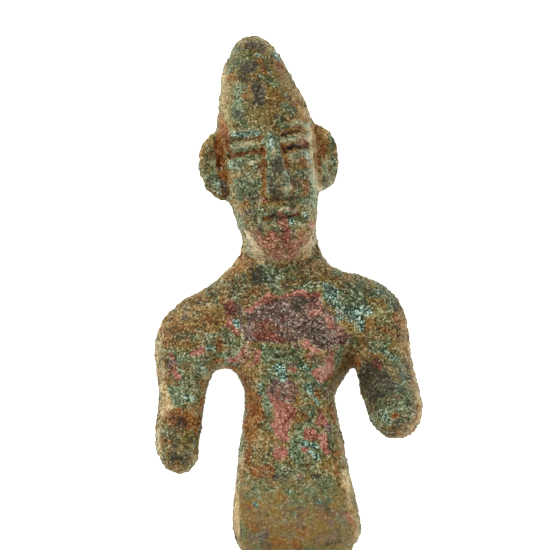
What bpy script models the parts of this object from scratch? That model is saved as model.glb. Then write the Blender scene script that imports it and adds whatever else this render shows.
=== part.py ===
"""A small cast bronze idol, lying on its back.

It is one solid casting: a figure in a tall pointed cap, with cupped ears, stub arms
held forward without hands, a flared kilt and two short legs. X runs to the idol's own
left, Y from its feet to its cap and Z out of its front. Z is 0 on the surface that its
back lies on, and the origin is at the middle of its footprint.

The idol's form is free, so its pose and proportions are shares of its length: they are
given in parts, and a part is 1 mm on an idol of the real length.
"""

import math

import bmesh
import bpy
import numpy as np
from mathutils import Matrix, Vector

IDOL_LENGTH = 0.081  # from the soles to the tip of the cap, in metres
PARTS_LONG = 81.0
PART = IDOL_LENGTH / PARTS_LONG

# Heights above the soles, in parts
HEM = 16.3
WAIST = 35.0
CHIN = 52.6

# The head leans to the idol's right, and turns a little to its left
HEAD_LEAN = math.radians(4.3)
HEAD_TURN = math.radians(7.0)
HEAD_X = -0.1
HEAD_DEPTH = 5.8  # the head's axis above the surface that the idol lies on

# The face is laid out by thirds of its height: chin to nose, nose to brow, brow to hairline
FACE_THIRD = 8.2
NOSE_BASE = FACE_THIRD
BROW = 2 * FACE_THIRD
EYE_LINE = 1.75 * FACE_THIRD
MOUTH_LINE = 2 / 3 * FACE_THIRD
EYE_X = 3.2
EYE_HALF = 1.75
MOUTH_HALF = 2.2
NOSE_RISE = 2.0
SLIT_DEPTH = 0.6
LID_RISE = 0.36
LIP_RISE = 0.3
UNDERCUT = 0.3  # the hollow under the nose
RIDGE_WIDTH = 0.56

# The ears reach from the brow down to the base of the nose
EAR_X = 6.1
EAR_MIDDLE = (BROW + NOSE_BASE) / 2 + 0.3
EAR_HALF_HEIGHT = 4.4
EAR_REACH = 3.0
EAR_SLANT = 0.25  # the idol's left ear is set this much lower than the middle
EAR_DEPTH = 0.2
EAR_THICKNESS = 1.9
EAR_BOWL = 1.3

LEG_X = 3.9
SOLE_FRONT = 9.6

# Finish of the casting
VOXEL = 0.3
MELT_PASSES = 14  # how far the forms flow into each other where they meet
TRIANGLES = 9000
CARVING_PASSES = 3  # how far the carving's edges are worn
BRONZE = (0.20, 0.21, 0.13, 1.0)

# Stations of the trunk from the hem to inside the head:
# height, middle, half width, back, front, squareness (2 is an ellipse, more is boxier)
TRUNK = (
    (HEM, 0.0, 6.6, 1.2, 8.8, 2.6),
    (HEM + 0.4, 0.0, 7.35, 0.4, 9.9, 2.8),
    (HEM + 1.2, 0.05, 7.85, -0.1, 10.4, 3.0),
    (HEM + 2.5, 0.0, 8.1, -0.3, 10.5, 3.2),
    (HEM + 3.9, -0.15, 8.05, -0.4, 10.5, 3.2),
    (HEM + 7.2, -0.2, 7.55, -0.5, 10.2, 3.2),
    (HEM + 10.2, -0.2, 7.05, -0.5, 9.8, 3.1),
    (HEM + 13.7, -0.15, 6.5, -0.3, 9.4, 3.0),
    (HEM + 16.7, -0.15, 5.95, 0.0, 9.1, 2.8),
    (WAIST + 0.3, -0.05, 5.6, 0.1, 9.0, 2.6),
    (WAIST + 2.0, 0.5, 6.15, 0.0, 9.1, 2.5),
    (WAIST + 3.7, 0.65, 7.1, -0.2, 9.4, 2.8),
    (WAIST + 7.0, 0.2, 8.2, -0.4, 9.8, 3.0),
    (WAIST + 10.5, 0.0, 9.0, -0.4, 9.9, 3.2),
    (WAIST + 13.7, 0.7, 10.2, 0.0, 9.5, 2.7),
    (WAIST + 15.5, -0.3, 8.3, 0.4, 9.2, 2.4),
    (WAIST + 17.0, -0.6, 6.3, 0.9, 8.8, 2.2),
    (WAIST + 18.7, -0.25, 5.1, 1.4, 8.5, 2.1),
    (WAIST + 20.5, -0.2, 4.7, 1.6, 8.5, 2.1),
    (WAIST + 23.5, -0.3, 4.5, 1.8, 8.5, 2.1),
    (WAIST + 27.0, -0.5, 4.2, 2.0, 8.5, 2.0),
)

# Stations of the head and cap in the head's own frame, from the chin up:
# height, middle, half width, back, front, squareness. Back and front are from the axis.
HEAD = (
    (0.0, 0.0, 1.2, 1.5, 4.2, 2.0),
    (0.5, 0.0, 2.4, 0.5, 5.2, 2.0),
    (1.8, 0.0, 3.7, -1.0, 6.0, 2.1),
    (4.0, 0.0, 4.7, -3.4, 6.3, 2.2),
    (7.0, 0.0, 5.35, -5.0, 6.3, 2.3),
    (10.5, 0.0, 5.8, -5.8, 6.2, 2.3),
    (14.0, 0.0, 6.1, -6.1, 6.1, 2.3),
    (17.0, 0.0, 6.05, -6.2, 5.9, 2.2),
    (19.5, 0.0, 5.55, -6.0, 5.5, 2.1),
    (22.0, -0.2, 4.8, -5.6, 5.0, 2.0),
    (24.5, -0.3, 4.0, -4.8, 4.2, 2.0),
    (26.5, -0.25, 3.05, -3.7, 3.2, 2.0),
    (28.0, -0.25, 1.85, -2.3, 1.9, 2.0),
    (28.6, -0.25, 0.8, -1.0, 0.8, 2.0),
)

# Stations of the arms from inside the chest to the stump:
# across, height above the waist, depth, half thickness across the path, half depth
RIGHT_ARM = (
    (-3.5, 10.3, 4.7, 5.9, 4.4),
    (-8.4, 9.7, 4.6, 5.4, 4.3),
    (-12.0, 7.7, 4.7, 4.85, 4.0),
    (-13.3, 4.2, 5.2, 3.45, 3.5),
    (-13.7, 0.8, 6.2, 2.9, 3.1),
    (-14.05, -2.2, 8.0, 2.9, 2.9),
    (-14.3, -4.6, 10.2, 2.75, 2.8),
    (-14.1, -5.5, 11.0, 2.55, 2.6),
)
LEFT_ARM = (
    (4.0, 10.3, 4.7, 5.9, 4.4),
    (8.0, 10.1, 4.6, 5.6, 4.3),
    (10.7, 9.1, 4.7, 4.8, 4.2),
    (11.8, 5.2, 5.2, 3.65, 3.9),
    (12.3, 1.8, 7.4, 3.6, 3.5),
    (12.65, 0.0, 10.6, 3.5, 3.5),
    (12.75, -1.2, 13.6, 3.4, 3.5),
    (12.8, -1.6, 14.4, 3.3, 3.4),
)

# Stations of a leg and its foot: across from the leg's middle, height above the sole, depth,
# half thickness across, half depth
LEG = (
    (-0.1, HEM + 2.0, 3.9, 3.0, 3.6),
    (0.0, 12.0, 3.7, 2.75, 3.4),
    (0.0, 7.0, 3.3, 2.5, 3.0),
    (0.0, 3.2, 3.1, 2.35, 2.9),
    (0.0, 2.2, 4.0, 2.3, 2.7),
    (0.1, 1.9, SOLE_FRONT - 2.6, 2.2, 2.2),
    (0.15, 1.8, SOLE_FRONT - 2.0, 2.0, 2.0),
)

RING_POINTS = 40
STEPS_BETWEEN = 4
END_RINGS = 5


def clear_scene():
    for obj in list(bpy.data.objects):
        bpy.data.objects.remove(obj)


def flowing(stations, steps=STEPS_BETWEEN):
    """Stations on a smooth Catmull-Rom curve through the given ones."""
    known = [np.array(s, float) for s in stations]
    padded = [2 * known[0] - known[1], *known, 2 * known[-1] - known[-2]]
    smooth = []
    for i in range(1, len(padded) - 2):
        a, b, c, d = padded[i - 1 : i + 3]
        for t in np.arange(steps) / steps:
            smooth.append(
                0.5 * (2 * b + (c - a) * t + (2 * a - 5 * b + 4 * c - d) * t**2
                       + (3 * b - a - 3 * c + d) * t**3)
            )
    smooth.append(known[-1])
    return smooth


def rounded(angle, squareness):
    """Cosine and sine of a superellipse's point."""
    power = 2 / squareness
    c, s = math.cos(angle), math.sin(angle)
    return math.copysign(abs(c) ** power, c), math.copysign(abs(s) ** power, s)


def bridge(bm, rings):
    """Closes a row of rings of points, in parts, into one shell."""
    loops = [[bm.verts.new(p * PART) for p in ring] for ring in rings]
    for low, high in zip(loops, loops[1:]):
        for i in range(len(low)):
            j = (i + 1) % len(low)
            bm.faces.new((low[i], low[j], high[j], high[i]))
    bm.faces.new(loops[0][::-1])
    bm.faces.new(loops[-1])


def loft(bm, stations, place):
    """A shell through upright stations; place turns a station's point into the idol's frame."""
    rings = []
    for height, middle, half, back, front, squareness in flowing(stations):
        axis = (back + front) / 2
        ring = []
        for i in range(RING_POINTS):
            across, deep = rounded(2 * math.pi * i / RING_POINTS, squareness)
            depth = axis + deep * (front - axis)
            ring.append(place @ Vector((middle + half * across, height, depth)))
        rings.append(ring)
    bridge(bm, rings)


def sweep(bm, stations, depth_axis):
    """A limb with a round end: rings square to its path, deep along an axis and thick across it."""
    path = flowing(stations)
    points = [Vector(s[:3]) for s in path]
    rings = []
    for i, station in enumerate(path):
        along = (points[min(i + 1, len(path) - 1)] - points[max(i - 1, 0)]).normalized()
        side = along.cross(depth_axis).normalized()
        deep = side.cross(along)
        rings.append((points[i], along, side * station[3], deep * station[4]))
    # The round end carries on past the last station
    tip, along, side, deep = rings[-1]
    reach = side.length
    for k in range(1, END_RINGS):
        turn = math.pi / 2 * k / END_RINGS
        shrink = math.cos(turn)
        rings.append((tip + along * reach * math.sin(turn), along, side * shrink, deep * shrink))
    angles = [2 * math.pi * i / RING_POINTS for i in range(RING_POINTS)]
    bridge(bm, [[p + s * math.cos(a) + d * math.sin(a) for a in angles] for p, _, s, d in rings])


def head_place():
    """From the head's own frame (across, up from the chin, forward) to the idol's, in parts."""
    return (
        Matrix.Translation((HEAD_X, CHIN, HEAD_DEPTH))
        @ Matrix.Rotation(HEAD_LEAN, 4, "Z")
        @ Matrix.Rotation(HEAD_TURN, 4, "Y")
    )


def add_ears(bm, place):
    """Two flattened lobes that flare out beside the head."""
    for side in (-1, 1):
        lobe = (
            place
            @ Matrix.Translation((side * EAR_X, EAR_MIDDLE - side * EAR_SLANT, EAR_DEPTH))
            @ Matrix.Rotation(-side * math.radians(14), 4, "Y")
            @ Matrix.Diagonal((EAR_REACH, EAR_HALF_HEIGHT, EAR_THICKNESS, 1.0))
        )
        bmesh.ops.create_uvsphere(
            bm,
            u_segments=RING_POINTS,
            v_segments=RING_POINTS // 2,
            radius=1.0,
            matrix=Matrix.Scale(PART, 4) @ lobe,
        )


def rough_shells():
    """Every form of the idol as its own closed shell, overlapping where the casting joins them."""
    mesh = bpy.data.meshes.new("rough_shells")
    bm = bmesh.new()
    loft(bm, TRUNK, Matrix.Identity(4))
    place = head_place()
    loft(bm, HEAD, place)
    add_ears(bm, place)
    front = Vector((0, 0, 1))
    for arm in (RIGHT_ARM, LEFT_ARM):
        sweep(bm, [(x, WAIST + up, *rest) for x, up, *rest in arm], front)
    across = Vector((1, 0, 0))
    for side in (-1, 1):
        leg = [(side * (LEG_X + x), up, z, deep, wide) for x, up, z, wide, deep in LEG]
        sweep(bm, leg, across)
    bmesh.ops.recalc_face_normals(bm, faces=bm.faces)
    bm.to_mesh(mesh)
    bm.free()
    return mesh


def evaluated_mesh(obj):
    graph = bpy.context.evaluated_depsgraph_get()
    return bpy.data.meshes.new_from_object(obj.evaluated_get(graph), depsgraph=graph)


def melted(mesh):
    """The shells as one skin whose joins flow into each other, as in a casting."""
    obj = bpy.data.objects.new("melt", mesh)
    bpy.context.scene.collection.objects.link(obj)
    remesh = obj.modifiers.new("skin", "REMESH")
    remesh.mode = "VOXEL"
    remesh.voxel_size = VOXEL * PART
    smooth = obj.modifiers.new("flow", "SMOOTH")
    smooth.factor = 0.5
    smooth.iterations = MELT_PASSES
    bpy.context.view_layer.update()
    skin = evaluated_mesh(obj)
    bpy.data.objects.remove(obj)
    return skin


def ridge(across, up, start, end, bend, width):
    """1 on a line from start to end that bows by bend in its middle, falling to 0 beside it."""
    (x0, y0), (x1, y1) = start, end
    t = np.clip((across - x0) / (x1 - x0), 0, 1)
    line = y0 + (y1 - y0) * t + bend * 4 * t * (1 - t)
    beyond = np.maximum(0, np.maximum(min(x0, x1) - across, across - max(x0, x1)))
    return np.exp(-(((up - line) ** 2 + beyond**2) / width**2))


def nose(across, up):
    """A wedge that widens and rises from the brow to the base of the nose."""
    down = np.clip((BROW - 0.6 - up) / (BROW - 0.6 - NOSE_BASE), 0, 1)
    half = 0.95 + 0.75 * down
    rise = NOSE_RISE * (0.3 + 0.7 * down)
    under = 1 / (1 + np.exp(-(up - NOSE_BASE) / 0.26))
    over = 1 / (1 + np.exp((up - BROW) / 0.5))
    return rise * np.exp(-((across / half) ** 2)) * under * over


def face_relief(across, up):
    """How far the face stands proud of the plain head, in parts, over its own frame."""
    relief = nose(across, up)
    for side in (-1, 1):
        inner, outer = side * (EYE_X - EYE_HALF), side * (EYE_X + EYE_HALF)
        lines = (
            (BROW, 0.25, LID_RISE),
            (BROW - 0.95, 0.2, -SLIT_DEPTH),
            (EYE_LINE + 0.35, 0.35, LID_RISE),
            (EYE_LINE - 0.55, 0.05, -SLIT_DEPTH),
            (EYE_LINE - 1.5, -0.3, LID_RISE),
        )
        for up_at, bend, height in lines:
            relief += height * ridge(across, up, (inner, up_at), (outer, up_at), bend, RIDGE_WIDTH)
    mouth = ((-MOUTH_HALF, MOUTH_LINE), (MOUTH_HALF, MOUTH_LINE))
    relief -= SLIT_DEPTH * ridge(across, up, *mouth, -0.15, RIDGE_WIDTH)
    for lip in (-1, 1):
        edge = tuple((0.7 * x, y + 0.6 * lip) for x, y in mouth)
        relief += LIP_RISE * ridge(across, up, *edge, 0.3 * lip, 1.2 * RIDGE_WIDTH)
    under_nose = ((-0.7 * MOUTH_HALF, NOSE_BASE - 0.75), (0.7 * MOUTH_HALF, NOSE_BASE - 0.75))
    relief -= UNDERCUT * ridge(across, up, *under_nose, 0, 1.3 * RIDGE_WIDTH)
    return relief


def ear_bowls(across, up):
    """How deep the ears' cups are, in parts."""
    depth = np.zeros_like(across)
    for side in (-1, 1):
        reach = ((side * across - EAR_X - 0.5) / (0.62 * EAR_REACH)) ** 2
        tall = ((up - EAR_MIDDLE + side * EAR_SLANT) / (0.72 * EAR_HALF_HEIGHT)) ** 2
        depth += EAR_BOWL * np.exp(-((reach + tall) ** 2))
    return depth


def carve(mesh):
    """Models the face and the ears in the skin, and presses the back and the soles flat."""
    points = np.empty(len(mesh.vertices) * 3)
    mesh.vertices.foreach_get("co", points)
    points = points.reshape(-1, 3) / PART
    normals = np.empty(len(mesh.vertices) * 3)
    mesh.vertex_normals.foreach_get("vector", normals)
    place = np.array(head_place())
    local = (points - place[:3, 3]) @ place[:3, :3]
    facing = np.clip(normals.reshape(-1, 3) @ place[:3, 2] / 0.5, 0, 1)
    facing *= (local[:, 1] > 0) & (local[:, 2] > 0)
    facing *= local[:, 1] < BROW + 3
    across, up = local[:, 0], local[:, 1]
    lift = face_relief(across, up) * (np.abs(across) < EAR_X) - ear_bowls(across, up)
    points += np.outer(lift * facing, place[:3, 2])
    points[:, 1:] = np.maximum(points[:, 1:], 0)
    mesh.vertices.foreach_set("co", (points * PART).ravel())
    mesh.update()


def thinned(mesh):
    """The skin with fewer triangles, closest where it curves most, and its flats kept flat."""
    obj = bpy.data.objects.new("thin", mesh)
    bpy.context.scene.collection.objects.link(obj)
    worn = obj.modifiers.new("worn", "SMOOTH")
    worn.factor = 0.5
    worn.iterations = CARVING_PASSES
    decimate = obj.modifiers.new("fewer", "DECIMATE")
    decimate.use_collapse_triangulate = True
    decimate.ratio = min(1.0, TRIANGLES / (2 * len(mesh.polygons)))
    bpy.context.view_layer.update()
    thin = evaluated_mesh(obj)
    bpy.data.objects.remove(obj)
    even_out(thin)
    return thin


def even_out(mesh):
    """Turns and relaxes the body's long triangles, which would show as notches."""
    bm = bmesh.new()
    bm.from_mesh(mesh)
    low, high = 0.02 * PART, (CHIN - 1) * PART
    body = [f for f in bm.faces if all(v.co.y < high for v in f.verts)]
    edges = list({e for f in body for e in f.edges})
    bmesh.ops.beautify_fill(bm, faces=body, edges=edges, method="ANGLE")
    raised = [v for v in bm.verts if v.co.z > low and v.co.y > low]
    body_only = [v for v in raised if v.co.y < high]
    for free, factor in ((raised, 0.25), (body_only, 0.35)):
        bmesh.ops.smooth_vert(
            bm, verts=free, factor=factor, use_axis_x=True, use_axis_y=True, use_axis_z=True
        )
    bm.to_mesh(mesh)
    bm.free()


def settle(mesh):
    """Puts the origin at the footprint's middle, and lays the flats exactly in their planes."""
    points = np.empty(len(mesh.vertices) * 3)
    mesh.vertices.foreach_get("co", points)
    points = points.reshape(-1, 3)
    points[:, 1:][np.abs(points[:, 1:]) < 0.02 * PART] = 0
    middle = (points.min(0) + points.max(0)) / 2
    points[:, :2] -= middle[:2]
    mesh.vertices.foreach_set("co", points.ravel())
    mesh.update()


def bronze():
    material = bpy.data.materials.new("patinated_bronze")
    material.use_nodes = True
    shader = material.node_tree.nodes["Principled BSDF"]
    shader.inputs["Base Color"].default_value = BRONZE
    shader.inputs["Roughness"].default_value = 0.7
    shader.inputs["Metallic"].default_value = 0.15
    return material


def main():
    clear_scene()
    skin = melted(rough_shells())
    carve(skin)
    casting = thinned(skin)
    settle(casting)
    casting.materials.clear()
    casting.materials.append(bronze())
    casting.shade_smooth()
    idol = bpy.data.objects.new("idol", casting)
    bpy.context.scene.collection.objects.link(idol)


main()
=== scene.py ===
"""The small bronze idol with its corroded skin, lying on its back on a white light table.

Lengths in the tables are millimetres. Places on the idol's front are given across from its
middle line, with plus towards its own left, and up from its waist. The longer tables run from
the cap down to the kilt.
"""

import math

import bpy
import numpy as np
from mathutils import Matrix, Vector


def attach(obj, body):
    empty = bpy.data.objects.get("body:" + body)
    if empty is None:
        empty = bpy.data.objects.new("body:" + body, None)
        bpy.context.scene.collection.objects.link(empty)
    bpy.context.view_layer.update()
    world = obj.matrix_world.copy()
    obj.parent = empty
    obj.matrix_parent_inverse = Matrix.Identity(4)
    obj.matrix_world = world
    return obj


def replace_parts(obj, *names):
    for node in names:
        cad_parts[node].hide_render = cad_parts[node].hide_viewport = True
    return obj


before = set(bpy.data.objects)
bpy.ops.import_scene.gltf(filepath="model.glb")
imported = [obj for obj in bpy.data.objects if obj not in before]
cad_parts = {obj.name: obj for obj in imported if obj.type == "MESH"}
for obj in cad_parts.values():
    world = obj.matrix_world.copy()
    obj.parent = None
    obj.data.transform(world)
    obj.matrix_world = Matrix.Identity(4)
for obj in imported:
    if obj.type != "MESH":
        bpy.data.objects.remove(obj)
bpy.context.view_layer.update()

MM = 0.001
WAIST = np.array((0.39, -5.54))  # where the idol's middle line crosses its waist

# The camera hangs straight above the chest and is turned a little
CAMERA_OVER = (-0.6, 10.4)
CAMERA_HEIGHT = 300.0
CAMERA_ROLL = math.radians(-3.2)
SHARP_DEPTH = 8.0  # the height of the idol's front above the table
FRAME_WIDTH = 68.75  # what the picture takes in, at that height
SENSOR = 36.0

# The skin, and the loose grains that stand on it
SKIN_VOXEL = 0.17
SKIN_PASSES = 12
SKIN_TRIANGLES = 185000
GRAIN_RADIUS = 0.085
GRAINS_PER_MM2 = 2.6
GRAIN_SEED = 5

# The head's own frame: its chin on the middle line, its lean and turn, and its axis above the table
CHIN = (-0.1, 17.6)
HEAD_DEPTH = 5.8
HEAD_LEAN = math.radians(4.3)
HEAD_TURN = math.radians(7.0)

# The face by thirds, as on the solid
FACE_THIRD = 8.2
NOSE_BASE = FACE_THIRD
BROW = 2 * FACE_THIRD
EYE_LINE = 1.75 * FACE_THIRD
MOUTH_LINE = 2 / 3 * FACE_THIRD
EYE_X = 3.2
EYE_HALF = 1.75
MOUTH_HALF = 2.0
EAR_X = 6.1
EAR_MIDDLE = (BROW + NOSE_BASE) / 2 + 0.3
EAR_HALF_HEIGHT = 4.4

# Lines of the face: where each starts and ends, across from its middle and up from its chin, how far
# it bows, its half width, and how deep it is cut or how high it stands. Those of a side are on both.
EYE_IN, EYE_OUT = EYE_X - EYE_HALF, EYE_X + EYE_HALF
SIDE_CUTS = (
    ((EYE_IN, BROW + 0.75), (EYE_OUT, BROW + 0.75), 0.25, 0.3, 0.12),  # over the brow
    ((EYE_IN, BROW - 0.95), (EYE_OUT, BROW - 0.95), 0.2, 0.3, 0.2),  # between the brow and the lid
    ((EYE_IN, EYE_LINE - 0.55), (EYE_OUT, EYE_LINE - 0.55), 0.05, 0.3, 0.38),  # between the lids
    ((EYE_IN, EYE_LINE - 2.3), (EYE_OUT, EYE_LINE - 2.3), -0.3, 0.35, 0.14),  # under the eye
)
SIDE_RIDGES = (
    ((EYE_IN, BROW), (EYE_OUT, BROW), 0.3, 0.42, 0.17),
    ((EYE_IN, EYE_LINE + 0.3), (EYE_OUT, EYE_LINE + 0.3), 0.35, 0.42, 0.17),  # the upper lid
    ((EYE_IN, EYE_LINE - 1.45), (EYE_OUT, EYE_LINE - 1.45), -0.3, 0.42, 0.17),  # the lower lid
    ((0.2, MOUTH_LINE + 0.75), (MOUTH_HALF - 0.3, MOUTH_LINE + 0.5), 0, 0.4, 0.13),  # the upper lip
)
MIDDLE_CUTS = (
    ((-MOUTH_HALF, MOUTH_LINE), (MOUTH_HALF, MOUTH_LINE), -0.15, 0.3, 0.34),  # the mouth
    ((-1.6, NOSE_BASE - 0.6), (1.6, NOSE_BASE - 0.6), 0, 0.4, 0.2),  # under the nose
)
LOWER_LIP = (((-1.2, MOUTH_LINE - 0.8), (1.2, MOUTH_LINE - 0.8), -0.1, 0.45, 0.15),)

# Heights above the waist between which the look of the crust, and the painted light on its rounded edges,
# changes, from none of it to all of it
YELLOW_CAP = (34.5, 36.5)
YELLOW_NECK = ((14.0, 15.0), (19.0, 18.0))
YELLOW_KILT = (-7.5, -10.5)
RIM_LIGHT_HEAD = (14, 18)
RIM_LIGHT_KILT = (-7, -10)
EVEN_CAP = (30, 34)
EVEN_KILT = (-7, -13)
UNEVEN_CHEST = ((5, 8), (18, 15))

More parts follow.
